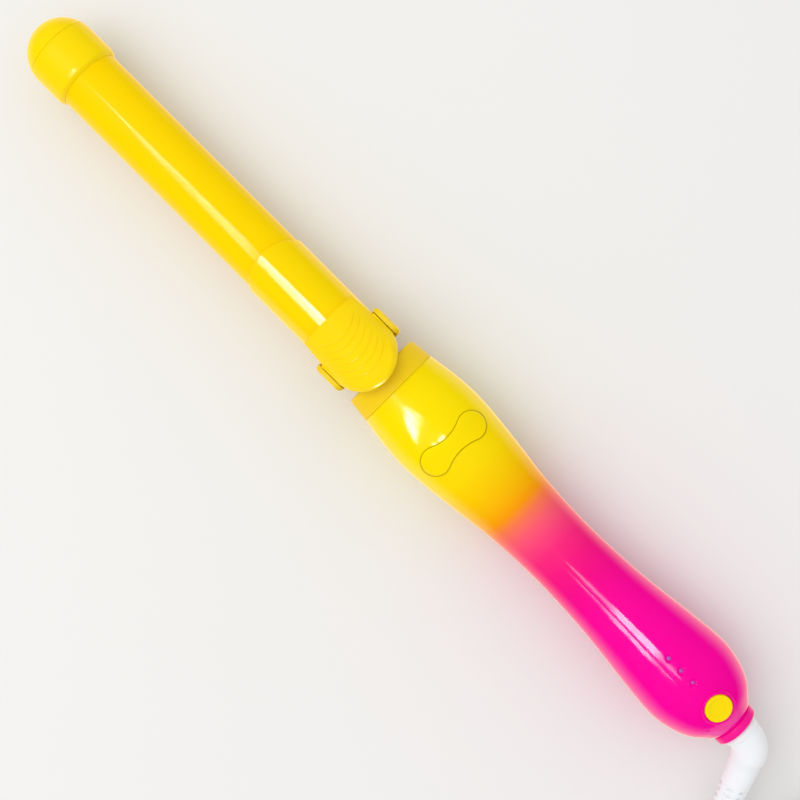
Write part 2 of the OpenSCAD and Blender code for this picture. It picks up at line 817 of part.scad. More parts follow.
module cord_lead() color("white") swept_tube(lead_route, cord_r, 10);

module cord_tail() color("white") swept_tube(tail_route, cord_r, 10);

// Two layers of turns, and the last turn on top at the outside
module coil_section(grow) {
    translate([coil_in - grow, -grow]) square([coil_out - coil_in + 2 * grow, 2 * turn_pitch + 2 * grow]);
    translate([coil_out - turn_pitch - grow, -grow])
        square([turn_pitch + 2 * grow, 3 * turn_pitch + 2 * grow]);
}

module cord_coil() color("white") translate([coil_center[0], coil_center[1], tie_t])
    rotate_extrude() coil_section(0);

module cord_tie() color("black") translate([coil_center[0], coil_center[1], tie_t])
    rotate([0, 0, 25]) rotate_extrude(angle = 10) difference() {
        coil_section(tie_t);
        coil_section(0);
    }

module plug_body() color("white") translate(plug_at) {
    translate([-plug_len, 0, 0]) rotate([90, 0, 90]) linear_extrude(height = plug_len - 8)
        rounded_plate(plug_w, plug_h, 3);
    translate([-8, 0, 0]) rotate([0, 90, 0]) cylinder(r1 = 6, r2 = 4.2, h = 8);
}

module plug_blades() color("silver") translate(plug_at) for (y = [-6.35, 6.35])
    translate([-plug_len - 17, y - 0.75, -3.2]) cube([17, 1.5, 6.4]);

tip_dome();
tip_ring();
tip_screw();
tip_plug();
barrel_tube();
heat_spreader_upper();
heat_spreader_lower();
ptc_heater();
thermal_fuse();
thermistor();
heater_leads();
barrel_base();
pivot_screws();
drive_shaft();
thrust_washer();
drive_gear();
slip_ring_sleeve();
slip_rings();
retaining_clip();
clamp_spoon();
thumb_lever();
lever_screws();
clamp_spring();
handle_top_shell();
handle_bottom_shell();
housing_screws();
nose_collar();
front_bearing();
rear_bearing();
motor_gearbox();
motor_can();
brush_block();
brushes();
rocker_board();
rocker_switches();
rocker_bracket();
main_board();
board_screws();
capacitor();
relay();
control_chips();
power_switch();
switch_carrier();
indicator_leds();
indicator_lenses();
end_collar();
cord_socket();
contact_springs();
motor_shaft();
drive_pinion();
rocker_button();
power_button();
strain_relief();
swivel_contacts();
cord_lead();
cord_coil();
cord_tail();
cord_tie();
plug_body();
plug_blades();
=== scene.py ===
import json
import math

import bmesh
import bpy
import numpy as np
from mathutils import Matrix, Vector


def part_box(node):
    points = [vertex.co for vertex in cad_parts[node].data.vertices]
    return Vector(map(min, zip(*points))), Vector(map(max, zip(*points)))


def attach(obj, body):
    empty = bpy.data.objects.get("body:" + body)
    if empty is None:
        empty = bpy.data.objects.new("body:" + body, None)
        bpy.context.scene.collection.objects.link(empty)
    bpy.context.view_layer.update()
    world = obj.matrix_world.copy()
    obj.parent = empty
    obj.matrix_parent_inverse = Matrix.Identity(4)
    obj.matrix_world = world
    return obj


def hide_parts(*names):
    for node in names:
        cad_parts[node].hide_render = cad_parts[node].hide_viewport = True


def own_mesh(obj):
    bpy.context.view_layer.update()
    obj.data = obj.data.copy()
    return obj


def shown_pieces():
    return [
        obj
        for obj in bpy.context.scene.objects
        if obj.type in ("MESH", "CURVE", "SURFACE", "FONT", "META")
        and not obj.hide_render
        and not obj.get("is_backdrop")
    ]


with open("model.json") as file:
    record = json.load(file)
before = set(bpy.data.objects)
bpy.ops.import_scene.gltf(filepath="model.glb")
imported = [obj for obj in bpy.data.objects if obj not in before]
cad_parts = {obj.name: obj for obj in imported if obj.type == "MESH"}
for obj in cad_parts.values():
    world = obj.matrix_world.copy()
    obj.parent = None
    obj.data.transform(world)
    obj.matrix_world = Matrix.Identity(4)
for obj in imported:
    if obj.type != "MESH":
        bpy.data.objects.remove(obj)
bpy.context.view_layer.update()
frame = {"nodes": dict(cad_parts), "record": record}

# A rotating curling iron lies along X, tip at +X, buttons up. A "station" is a distance back
# along the barrel's axis from a datum just ahead of the tip, in millimetres, as are all sizes
# named here. row() and spot() turn them into metres.

MM = 0.001
TIP_FRONT = 1.1
TIP_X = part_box("tip_dome")[1][0] / MM + TIP_FRONT
AXIS_Z = (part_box("barrel_tube")[0][2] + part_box("barrel_tube")[1][2]) / 2 / MM

# Barrel, cool tip and clamp. The clamp is leaned a little about the axis.
BARREL_TURN = math.radians(4)
BARREL_R = 12.7
TIP_R = 14.2
DOME_MID = TIP_FRONT + TIP_R
DOME_SEAM = 12.2
TIP_LEN = 28.8
CLAMP_FRONT = 124.5
CLAMP_BACK = 167
CLAMP_IN = 13.0
CLAMP_OUT = 13.5
CLAMP_NOSE_R = 20.1

# Thumb lever: LEVER_HALF is half its width and the radius of its end
LEVER_FRONT = 159.5
LEVER_FRONT_HALF = 12.9
LEVER_WIDE_AT = 175
LEVER_HALF = 14.2
LEVER_END_MID = 177.7
LEVER_RISE_AT = 163
LEVER_RISE = math.radians(17)
LIP_AT = 178
PIVOT_AT = 175.4
PIVOT_UP = 5

# Handle, its controls, and its radius at each station
NOSE_FRONT = 187.3
SHELL_FRONT = 196.7
SHELL_BACK = 377.7
BODY_LEN = 381.3
WALL = 2
ROCKER_AT = 226
LOBE_Y = 9.5
LOBE_R = 5.6
WAIST_HALF = 3.55
WAIST_R = 17.4
ROCKER_GAP = 0.24
BUTTON_AT = 365.4
BUTTON_UP = 17.7
BUTTON_TILT = math.radians(18)
BUTTON_R = 5.5
LENSES = ((338.9, 0.84), (345.2, 0.78), (351.3, 0.68))
DIMPLE_R = 1.75
SCREWS = ((240, 11.8), (330, 10.6))
HANDLE_CURVE = (
    (196.7, 17.6), (208, 19.3), (219.5, 20), (231, 19.3), (246, 17.6), (262, 15.6), (285, 14.55),
    (308, 15.4), (323.5, 16.9), (339, 18.8), (353.5, 20), (362, 18.8), (369.5, 15.9), (375.1, 11.5),
    (377.7, 8.95),
)

# Cord, on the floor: its route, and a coil of two layers. Places are (x, y, z) in millimetres.
CORD_D = 6
TURN_PITCH = 6.2
LAYER_TURNS = 4
COIL_CENTER = (-276.45, 18.4)
COIL_INNER, COIL_OUTER = 24.5, 43.1
COIL_LOW = 4.1
LEAD_ROUTE = (
    (-221.15, 45.5, 5.2), (-223.65, 50.5, 4), (-227.85, 55.2, 3.3), (-233.25, 59, 3.1),
    (-239.45, 61.4, 3.1), (-247.45, 61.9, 3.2), (-256.45, 61.8, 3.5), (-266.45, 61.6, 3.9),
)
TAIL_ROUTE = (
    (-284.45, 61.5, 16.2), (-292.45, 61.5, 14.9), (-300.45, 61.5, 12.6), (-308.45, 61.5, 10.3),
    (-315.45, 61.5, 8.7), (-322.45, 61.5, 8),
)
PLUG_AT = (-322.45, 61.5, 8)


# ---- Places ----

def row(station, side, up):
    """A point on the iron, given by its station and its offsets from the axis, in metres."""
    return Vector(((TIP_X - station) * MM, side * MM, (AXIS_Z + up) * MM))


def turned(point):
    """The point, leaned about the axis as the clamp is."""
    axis = Vector((0, 0, AXIS_Z * MM))
    return Matrix.Rotation(-BARREL_TURN, 3, "X") @ (point - axis) + axis


def handle_r(station):
    """Radius of the handle at a station: a smooth curve through HANDLE_CURVE."""
    p = HANDLE_CURVE
    i = max(k for k in range(len(p) - 1) if p[k][0] <= max(station, p[0][0]))

    def slope(k):
        a, b = max(k - 1, 0), min(k + 1, len(p) - 1)
        return (p[b][1] - p[a][1]) / (p[b][0] - p[a][0])

    w = p[i + 1][0] - p[i][0]
    t = min(1, (station - p[i][0]) / w)
    return (
        (2 * t**3 - 3 * t**2 + 1) * p[i][1] + (t**3 - 2 * t**2 + t) * w * slope(i)
        + (3 * t**2 - 2 * t**3) * p[i + 1][1] + (t**3 - t**2) * w * slope(i + 1)
    )


# ---- Camera, over the middle of the iron and square to the floor ----

CAMERA_HEIGHT = 0.54
CAMERA_XY = (-0.00915, 0.0027)
FRAME_WIDTH = 0.308
SENSOR = 36

camera_data = bpy.data.cameras.new("camera")
camera_data.sensor_width = SENSOR
camera_data.lens = SENSOR * CAMERA_HEIGHT / FRAME_WIDTH
camera = bpy.data.objects.new("camera", camera_data)
bpy.context.collection.objects.link(camera)
look_up = Vector((1, -1, 0)).normalized()
look_right = Vector((-1, -1, 0)).normalized()
place = Matrix((look_right, look_up, Vector((0, 0, 1)))).transposed().to_4x4()
place.translation = (*CAMERA_XY, AXIS_Z * MM + CAMERA_HEIGHT)
camera.matrix_world = place
bpy.context.scene.camera = camera


# ---- Mesh helpers ----

def add_object(name, data, material=None):
    o = bpy.data.objects.new(name, data)
    bpy.context.collection.objects.link(o)
    if material:
        data.materials.append(material)
    return o


def from_mesh(name, points, faces, material, sharp=40):
    """A mesh with outward faces, smooth apart from edges over the sharp angle, in degrees."""
    mesh = bpy.data.meshes.new(name)
    mesh.from_pydata([tuple(p) for p in points], [], faces)
    bm = bmesh.new()
    bm.from_mesh(mesh)
    bmesh.ops.remove_doubles(bm, verts=bm.verts, dist=1e-7)
    bmesh.ops.dissolve_degenerate(bm, edges=bm.edges, dist=1e-8)
    bmesh.ops.recalc_face_normals(bm, faces=bm.faces)
    bm.to_mesh(mesh)
    bm.free()
    mesh.shade_smooth()
    mesh.set_sharp_from_angle(angle=math.radians(sharp))
    return add_object(name, mesh, material)


def rounded(outline, radii, steps=5):
    """The closed outline of (a, b) points with its corners rounded. A radius of 0 keeps a corner."""
    n = len(outline)
    out = []
    for i, p in enumerate(outline):
        r = radii[i] if hasattr(radii, "__len__") else radii
        p = np.array(p, float)
        before, after = np.array(outline[i - 1], float), np.array(outline[(i + 1) % n], float)
        u, v = before - p, after - p
        lu, lv = np.linalg.norm(u), np.linalg.norm(v)
        u, v = u / lu, v / lv
        half = math.acos(max(-1, min(1, float(u @ v)))) / 2
        if r <= 0 or half > math.radians(88):
            out.append(tuple(p))
            continue
        cut = min(r / math.tan(half), lu * 0.49, lv * 0.49)
        r = cut * math.tan(half)
        mid = p + (u + v) / np.linalg.norm(u + v) * r / math.sin(half)
        a, b = p + u * cut - mid, p + v * cut - mid
        sweep = math.pi - 2 * half
        for k in range(steps + 1):
            t = k / steps
            q = mid + (math.sin((1 - t) * sweep) * a + math.sin(t * sweep) * b) / math.sin(sweep)
            out.append(tuple(q))
    return out


def strip(a, b, n):
    """Faces between two closed rows of n points, which begin at index a and at index b."""
    return [(a + k, a + (k + 1) % n, b + (k + 1) % n, b + k) for k in range(n)]


def end_faces(n, rows):
    """A face over the first of the rows of n points, and one over the last."""
    return [tuple(range(n)), tuple(range((rows - 1) * n, rows * n))]


def skin_faces(n, rows):
    """Faces over closed rows of n points, with both ends covered."""
    return [f for i in range(rows - 1) for f in strip(i * n, (i + 1) * n, n)] + end_faces(n, rows)


def wheel_faces(n, columns, segments):
    """Faces of a closed outline of n points that is turned about an axis."""
    faces = []
    for c in range(segments):
        a, b = c * n, (c + 1) % columns * n
        faces += [(a + k, b + k, b + (k + 1) % n, a + (k + 1) % n) for k in range(n)]
    return faces


def lathe(name, outline, material, segments=160, start=0.0, sweep=2 * math.pi):
    """The closed (station, radius) outline turned about the iron's axis.

    The angle runs from straight up towards +Y. A part turn gets flat end faces."""
    whole = abs(sweep - 2 * math.pi) < 1e-6
    columns = segments if whole else segments + 1
    points = []
    for c in range(columns):
        a = start + sweep * c / segments
        points += [row(s, r * math.sin(a), r * math.cos(a)) for s, r in outline]
    faces = wheel_faces(len(outline), columns, segments)
    if not whole:
        faces += end_faces(len(outline), columns)
    return from_mesh(name, points, faces, material)


def discard(objects):
    for o in objects:
        mesh = o.data
        bpy.data.objects.remove(o)
        bpy.data.meshes.remove(mesh)


def bevel(o, width, segments, angle):
    edge = o.modifiers.new("edges", "BEVEL")
    edge.width, edge.segments = width * MM, segments
    edge.limit_method, edge.angle_limit = "ANGLE", math.radians(angle)
    return edge


def joined(name, objects):
    """One object made of several, in the first one's place."""
    bm = bmesh.new()
    materials = []
    for o in objects:
        first = len(materials)
        materials += list(o.data.materials)
        count = len(bm.faces)
        bm.from_mesh(o.data)
        bm.faces.ensure_lookup_table()
        for f in bm.faces[count:]:
            f.material_index += first
    mesh = bpy.data.meshes.new(name)
    bm.to_mesh(mesh)
    bm.free()
    used = list(dict.fromkeys(materials))
    for p in mesh.polygons:
        p.material_index = used.index(materials[p.material_index])
    for m in used:
        mesh.materials.append(m)
    discard(objects)
    return add_object(name, mesh)


def cut(o, *cutters):
    """Takes the cutters' volume out of o, for good."""
    for c in cutters:
        m = o.modifiers.new("cut", "BOOLEAN")
        m.operation, m.solver, m.object = "DIFFERENCE", "EXACT", c
    graph = bpy.context.evaluated_depsgraph_get()
    mesh = bpy.data.meshes.new_from_object(o.evaluated_get(graph))
    o.modifiers.clear()
    old = o.data
    o.data = mesh
    bpy.data.meshes.remove(old)
    discard(cutters)


def prism(name, outline, low, high, to_row):
    """A straight solid over a closed outline of (x, y), from low to high, moved by to_row."""
    n = len(outline)
    points = [to_row @ Vector((x, y, z)) for z in (low, high) for x, y in outline]
    return from_mesh(name, points, end_faces(n, 2) + strip(0, n, n), None)


def circle_points(r, n):
    return [(r * math.cos(2 * math.pi * k / n), r * math.sin(2 * math.pi * k / n)) for k in range(n)]


def spot(station, up=0.0, tilt=0.0, turn=False):
    """From millimetres in local axes at a station, x to the tip and z up, to a place in metres."""
    m = Matrix.Translation(row(station, 0, up)) @ Matrix.Rotation(-tilt, 4, "Y") @ Matrix.Scale(MM, 4)
    if turn:
        axis = Matrix.Translation(Vector((0, 0, AXIS_Z * MM)))
        m = axis @ Matrix.Rotation(-BARREL_TURN, 4, "X") @ axis.inverted() @ m
    return m


def spun(name, outline, material, to_row, segments=96):
    """A closed (radius, height) outline turned about its own upright axis, moved by to_row."""
    points = []
    for c in range(segments):
        a = 2 * math.pi * c / segments
        points += [to_row @ Vector((r * math.cos(a), r * math.sin(a), z)) for r, z in outline]
    return from_mesh(name, points, wheel_faces(len(outline), segments, segments), material)


def tube(name, path, radii, material, sides):
    """A round tube along points in metres, with a radius at each, in metres."""
    path = [Vector(p) for p in path]
    n = len(path)
    heads = [(path[min(i + 1, n - 1)] - path[max(i - 1, 0)]).normalized() for i in range(n)]
    u = heads[0].orthogonal().normalized()
    points = []
    for i in range(n):
        u = (u - heads[i] * u.dot(heads[i])).normalized()
        v = heads[i].cross(u)
        for k in range(sides):
            a = 2 * math.pi * k / sides
            points.append(path[i] + radii[i] * (math.cos(a) * u + math.sin(a) * v))
    return from_mesh(name, points, skin_faces(sides, n), material)


def finish_piece(o, body, slot, *nodes):
    """The piece rides on its body and stands for the CAD nodes named. slot is not used."""
    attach(o, body)
    if nodes:
        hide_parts(*nodes)
    return o


# ---- Materials ----

def linear(r, g, b):
    """A colour as seen, 0 to 255, as the shader's numbers."""
    def one(c):
        c /= 255
        return c / 12.92 if c <= 0.04045 else ((c + 0.055) / 1.055) ** 2.4
    return (one(r), one(g), one(b), 1)


class Nodes:
    """Short calls for building the node tree of a material or of the world."""

    def __init__(self, owner):
        owner.use_nodes = True
        self.owner, self.tree = owner, owner.node_tree
        self.shader = self.tree.nodes.get("Principled BSDF")

    def add(self, kind, **settings):
        """A new node. Each setting is the value of an input where the node has one of that name."""
        node = self.tree.nodes.new(kind)
        for key, value in settings.items():
            if key in node.inputs:
                node.inputs[key].default_value = value
            else:
                setattr(node, key, value)
        return node

    def link(self, a, b):
        self.tree.links.new(a, b)

    def map_range(self, value, low_in, high_in, low, high):
        node = self.add("ShaderNodeMapRange",
                        **{"From Min": low_in, "From Max": high_in, "To Min": low, "To Max": high})
        self.link(value, node.inputs["Value"])
        return node.outputs["Result"]

    def set(self, **values):
        """Values of the shader's own inputs, with _ for a space in a name."""
        for key, value in values.items():
            self.shader.inputs[key.replace("_", " ")].default_value = value

    def place(self):
        """Place on the object in metres, the same at every pose."""
        return self.add("ShaderNodeTexCoord").outputs["Object"]

    def noise(self, scale, detail=3.0):
        node = self.add("ShaderNodeTexNoise", Scale=scale, Detail=detail)
        self.link(self.place(), node.inputs["Vector"])
        return node.outputs["Fac"]

    def spread(self, value, low, high):
        """A noise value, most of which lies between 0.3 and 0.7, spread from low to high."""
        return self.map_range(value, 0.3, 0.7, low, high)

    def shaded(self, colour, value, dark=0.94):
        """The colour, a little darker where value is low."""
        node = self.add("ShaderNodeMix", data_type="RGBA", blend_type="MULTIPLY")
        node.inputs["Factor"].default_value = 1
        tone = self.spread(value, dark, 1.0)
        self.link(tone, node.inputs["B"])
        if hasattr(colour, "is_linked"):
            self.link(colour, node.inputs["A"])
        else:
            node.inputs["A"].default_value = colour
        return node.outputs["Result"]

    def bump(self, value, height, distance=0.001):
        node = self.add("ShaderNodeBump", Strength=height, Distance=distance)
        self.link(value, node.inputs["Height"])
        self.link(node.outputs["Normal"], self.shader.inputs["Normal"])


def moulded(name, colour, rough, grain=900.0, bump=0.03, gloss=0.5, ior=1.4, tone=0.95):
    """Moulded or lacquered surface: slight colour drift, uneven gloss and a fine grain."""
    n = Nodes(bpy.data.materials.new(name))
    blotch = 60.0
    n.link(n.shaded(colour, n.noise(blotch), tone), n.shader.inputs["Base Color"])
    n.link(n.spread(n.noise(blotch * 4), rough * 0.88, rough * 1.15), n.shader.inputs["Roughness"])
    n.set(IOR=ior, Specular_IOR_Level=gloss)
    n.bump(n.noise(grain, 2.0), bump, 0.0004)
    return n.owner


def metal(name, colour, rough, along=(1, 1, 1)):
    """Plated or machined metal with fine streaks; along stretches them."""
    n = Nodes(bpy.data.materials.new(name))
    mapping = n.add("ShaderNodeMapping")
    mapping.inputs["Scale"].default_value = along
    n.link(n.place(), mapping.inputs["Vector"])
    streaks = n.add("ShaderNodeTexNoise", Scale=600.0, Detail=4.0)
    n.link(mapping.outputs["Vector"], streaks.inputs["Vector"])
    n.link(n.shaded(colour, streaks.outputs["Fac"], 0.85), n.shader.inputs["Base Color"])
    n.link(n.spread(streaks.outputs["Fac"], rough * 0.7, rough * 1.4), n.shader.inputs["Roughness"])
    n.set(Metallic=1)
    n.bump(streaks.outputs["Fac"], 0.04, 0.0003)
    return n.owner


# Colour of the handle at a few stations, 0 to 255
HANDLE_COLOURS = (
    (222, (255, 226, 2)), (238, (254, 218, 2)), (246, (254, 204, 2)), (252.5, (253, 188, 2)),
    (257, (253, 170, 4)), (260, (252, 152, 14)), (263.7, (252, 122, 78)), (269.5, (253, 92, 114)),
    (275, (253, 68, 124)), (281, (252, 42, 126)), (289, (250, 24, 130)), (298, (248, 12, 138)),
    (309, (251, 5, 150)), (330, (254, 2, 158)),
)


def handle_gloss():
    """Glossy lacquer that fades from yellow through orange to hot pink along the handle."""
    n = Nodes(bpy.data.materials.new("handle_gloss"))
    parts = n.add("ShaderNodeSeparateXYZ")
    n.link(n.place(), parts.inputs["Vector"])
    first, last = HANDLE_COLOURS[0][0] - 2, HANDLE_COLOURS[-1][0] + 2
    along = n.map_range(parts.outputs["X"], (TIP_X - first) * MM, (TIP_X - last) * MM, 0, 1)
    ramp = n.add("ShaderNodeValToRGB")
    stops = ramp.color_ramp.elements
    for k, (station, colour) in enumerate(HANDLE_COLOURS):
        where = (station - first) / (last - first)
        stop = stops[k] if k < len(stops) else stops.new(where)
        stop.position = where
        stop.color = linear(*colour)
    n.link(along, ramp.inputs["Fac"])
    n.link(n.shaded(ramp.outputs["Color"], n.noise(45), 0.97), n.shader.inputs["Base Color"])
    n.link(n.spread(n.noise(220), 0.085, 0.105), n.shader.inputs["Roughness"])
    n.set(IOR=1.45)
    n.bump(n.noise(260, 1.0), 0.0012, 0.0004)
    return n.owner


def lens_material():
    """Tinted purple plastic with a clear skin."""
    n = Nodes(bpy.data.materials.new("lens_tint"))
    n.link(n.shaded(linear(206, 92, 204), n.noise(900), 0.8), n.shader.inputs["Base Color"])
    n.set(Roughness=0.12, Coat_Weight=0.6)
    n.bump(n.noise(1500, 1.0), 0.02, 0.0002)
    return n.owner


TIP_YELLOW = moulded("tip_satin", linear(254, 219, 0), 0.16, bump=0.01, gloss=0.4, ior=1.38,
                     tone=0.975)
BARREL_YELLOW = moulded("barrel_coating", linear(254, 213, 0), 0.11, grain=1600, bump=0.002, gloss=0.27,
                        ior=1.38, tone=0.985)
CLAMP_YELLOW = moulded("clamp_lacquer", linear(254, 217, 0), 0.095, grain=1200, bump=0.0015, gloss=0.55,
                      ior=1.5, tone=0.985)
LEVER_YELLOW = moulded("lever_matte", linear(254, 217, 0), 0.28, grain=1500, bump=0.02, gloss=0.2, ior=1.4)
COLLAR_YELLOW = moulded("collar_satin", linear(248, 209, 2), 0.42, grain=1300, bump=0.02, gloss=0.3)
BUTTON_YELLOW = moulded("button_satin", linear(254, 223, 0), 0.35, grain=1300, bump=0.015, gloss=0.15)
BASE_YELLOW = moulded("base_satin", linear(246, 212, 2), 0.42, grain=1300, bump=0.02, ior=1.4)
HANDLE = handle_gloss()
END_PINK = moulded("end_pink", linear(254, 2, 150), 0.3, grain=900, bump=0.01, ior=1.38)
LENS = lens_material()
WHITE_RUBBER = moulded("white_rubber", linear(243, 245, 248), 0.5, grain=1100, bump=0.08, ior=1.4)
CORD_WHITE = moulded("cord_white", linear(240, 242, 246), 0.42, grain=1400, bump=0.06)
TIE_BLACK = moulded("tie_black", linear(34, 34, 36), 0.6, grain=1800, bump=0.2, tone=0.8)
STEEL = metal("zinc_steel", linear(196, 196, 200), 0.28, (0.2, 1, 1))
BRASS = metal("bright_brass", linear(224, 208, 164), 0.22)
ALUMINIUM = metal("extruded_aluminium", linear(204, 206, 208), 0.32, (0.05, 1, 1))
CERAMIC = moulded("ceramic_filled", linear(226, 220, 204), 0.6, bump=0.1, tone=0.9)
ACETAL = moulded("natural_acetal", linear(238, 234, 216), 0.45, bump=0.05)
BLACK = moulded("black_moulding", linear(34, 34, 34), 0.5, bump=0.1, tone=0.8)
BOARD = moulded("solder_mask", linear(20, 108, 52), 0.35, grain=700, bump=0.08, tone=0.8)
LED = moulded("led_clear", linear(240, 240, 232), 0.2)
WIRE = moulded("sleeved_wire", linear(232, 232, 226), 0.5)
SLOT_MATERIALS = {
    "cool_tip": TIP_YELLOW, "barrel_coat": BARREL_YELLOW, "clamp_metal": CLAMP_YELLOW,
    "lever_plastic": LEVER_YELLOW, "handle_shell": HANDLE, "end_pink": END_PINK,
    "button_yellow": BUTTON_YELLOW, "lens": LENS, "white_rubber": WHITE_RUBBER,
    "cord_jacket": CORD_WHITE, "tie_black": TIE_BLACK, "blade_brass": BRASS, "steel": STEEL,
    "gearbox_brass": BRASS, "aluminium": ALUMINIUM, "ceramic": CERAMIC, "acetal": ACETAL,
    "black_plastic": BLACK, "circuit_board": BOARD, "led": LED, "wire": WIRE,
}


# ---- Cord: lead, coil of eight turns, tail, tie, plug and strain relief ----

def coil_points():
    """Centre of the cord round the coil, from the outside of the bottom layer to the top.

    Three turns go in, one climbs at the inside, three go out, and one climbs on top of the outside."""
    steps, turns = 28, 2 * LAYER_TURNS

    def turn_place(t):
        """Distance from the coil's middle, and height over the bottom layer, after t turns."""
        ring = min(int(t), turns - 1)
        climb = math.pi / 2 * (t - ring)
        if ring < LAYER_TURNS - 1:
            return COIL_OUTER - TURN_PITCH * t, 0.0
        if ring == LAYER_TURNS - 1:
            back = COIL_INNER + TURN_PITCH * (LAYER_TURNS - t)
            return back - TURN_PITCH * math.cos(climb), TURN_PITCH * math.sin(climb)
        if ring < turns - 1:
            return COIL_INNER + TURN_PITCH * (t - LAYER_TURNS), TURN_PITCH
        back = COIL_OUTER - TURN_PITCH * (turns - t)
        return back + TURN_PITCH * math.cos(climb), TURN_PITCH * (1 + math.sin(climb))

    points = []
    for k in range(turns * steps + 1):
        t = k / steps
        r, rise = turn_place(t)
        a = math.pi / 2 + 2 * math.pi * t
        points.append((COIL_CENTER[0] + r * math.cos(a), COIL_CENTER[1] + r * math.sin(a),
                       COIL_LOW + rise))
    return points


def smooth_route(points, steps):
    """A Catmull-Rom curve through the points."""
    p = [np.array(q, float) for q in points]
    p = [2 * p[0] - p[1]] + p + [2 * p[-1] - p[-2]]
    out = []
    for i in range(1, len(p) - 2):
        for k in range(steps):
            t = k / steps
            a, b, c, d = p[i - 1:i + 3]
            out.append(0.5 * (2 * b + (c - a) * t + (2 * a - 5 * b + 4 * c - d) * t**2
                              + (3 * b - a - 3 * c + d) * t**3))
    out.append(p[-2])
    return out


def build_cord():
    line = smooth_route(LEAD_ROUTE + tuple(coil_points()) + TAIL_ROUTE, 3)
    line = [tuple(c * MM for c in q) for q in line]
    radius = CORD_D / 2 * MM
    cord = tube("cord", line, [radius] * len(line), CORD_WHITE, sides=20)
    finish_piece(cord, "cord", "cord_jacket", "cord_lead", "cord_coil", "cord_tail")
    return cord, line


def coil_section(grow):
    """Outline of the tied turns in (radius, height), widened by grow."""
    bottom, half = 1, TURN_PITCH / 2
    inner, outer = COIL_INNER - half - grow, COIL_OUTER + half + grow
    step_in = outer - TURN_PITCH - 2 * grow
    low = bottom - grow
    high, top = bottom + 2 * TURN_PITCH + grow, bottom + 3 * TURN_PITCH + grow
    return [(inner, low), (outer, low), (outer, top), (step_in, top), (step_in, high), (inner, high)]


def build_tie():
    """A strap round the turns, with thinner edges."""
    first_angle, width_angle, columns = 25.6, 8.8, 13
    floor_gap = 0.02
    outside = rounded(coil_section(0.95), 2.4, 6)
    inside = rounded(coil_section(0.1), 1.9, 6)
    n = len(outside)
    points, faces = [], []
    for c in range(columns):
        a = math.radians(first_angle + width_angle * c / (columns - 1))
        edge = 0.35 if c in (0, columns - 1) else 0
        for (ro, zo), (ri, zi) in zip(outside, inside):
            for r, z in ((ro + (ri - ro) * edge, zo + (zi - zo) * edge), (ri, zi)):
                points.append(Vector(((COIL_CENTER[0] + r * math.cos(a)) * MM,
                                      (COIL_CENTER[1] + r * math.sin(a)) * MM,
                                      max(z, floor_gap) * MM)))
    for c in range(columns - 1):
        for quad in strip(n * c, n * (c + 1), n):
            faces += [tuple(2 * i + side for i in quad) for side in (0, 1)]
    for c in (0, columns - 1):
        for k in range(n):
            a, b = 2 * (n * c + k), 2 * (n * c + (k + 1) % n)
            faces.append((a, b, b + 1, a + 1))
    tie = from_mesh("tie_strap", points, faces, TIE_BLACK, 50)
    return finish_piece(tie, "cord", "tie_black", "cord_tie")


def build_plug():
    """Moulded two-blade plug: a rounded block with finger ribs and a short nose for the cord."""
    x0, y0, z0 = PLUG_AT
    ribs, first_rib, rib_step, sides = 4, 15.5, 3.2, 72
    # Each section: distance from the cord, half width, half height, and how square it is
    sections = [(0, 3.9, 3.9, 2.0), (0.6, 4.2, 4.2, 2.0), (4, 4.8, 4.8, 2.0), (8, 6.2, 6.0, 2.2),
                (9.4, 8.8, 7.1, 2.8), (11, 10.3, 7.7, 3.6), (13, 10.9, 7.95, 4.5)]
    for k in range(ribs):
        s = first_rib + rib_step * k
        sections += [(s, 10.95, 8, 5), (s + 0.5, 10.4, 7.6, 5), (s + 1.1, 10.4, 7.6, 5),
                     (s + 1.6, 10.95, 8, 5)]
    sections += [(30.5, 11, 8, 5), (32.8, 11, 8, 5.5), (33.6, 10.7, 7.7, 5.5), (34, 10.1, 7.1, 5.5)]
    points = []
    for s, half_w, half_h, power in sections:
        for k in range(sides):
            a = 2 * math.pi * k / sides
            c, d = math.cos(a), math.sin(a)
            y = half_w * math.copysign(abs(c) ** (2 / power), c)
            z = half_h * math.copysign(abs(d) ** (2 / power), d)
            points.append(Vector(((x0 - s) * MM, (y0 + y) * MM, (z0 + z) * MM)))
    plug = from_mesh("plug", points, skin_faces(sides, len(sections)), WHITE_RUBBER, 35)
    return finish_piece(plug, "cord", "white_rubber", "plug_body")


def build_blades():
    """Two flat blades with rounded tips and a hole in each."""
    x0, y0, z0 = PLUG_AT
    apart, half_width, half_thick, root, end, hole_at, hole_r = 6.35, 3.2, 0.75, -34, -51, -46.5, 1.6
    blades = []
    for k, y in enumerate((-apart, apart)):
        outline = rounded([(root, -half_width), (end, -half_width), (end, half_width), (root, half_width)],
                          (0, 1.6, 1.6, 0), 6)
        middle = Matrix.Translation((x0 * MM, (y0 + y) * MM, z0 * MM))
        to_row = middle @ Matrix.Rotation(math.pi / 2, 4, "X") @ Matrix.Scale(MM, 4)
        blade = prism(f"blade_{k}", outline, -half_thick, half_thick, to_row)
        hole = [(x + hole_at, z) for x, z in circle_points(hole_r, 32)]
        cut(blade, prism("hole", hole, -2, 2, to_row))
        blade.data.materials.clear()
        blade.data.materials.append(BRASS)
        blades.append(blade)
    blades = joined("plug_pins", blades)
    bevel(blades, 0.25, 2, 40)
    return finish_piece(blades, "cord", "blade_brass", "plug_blades")


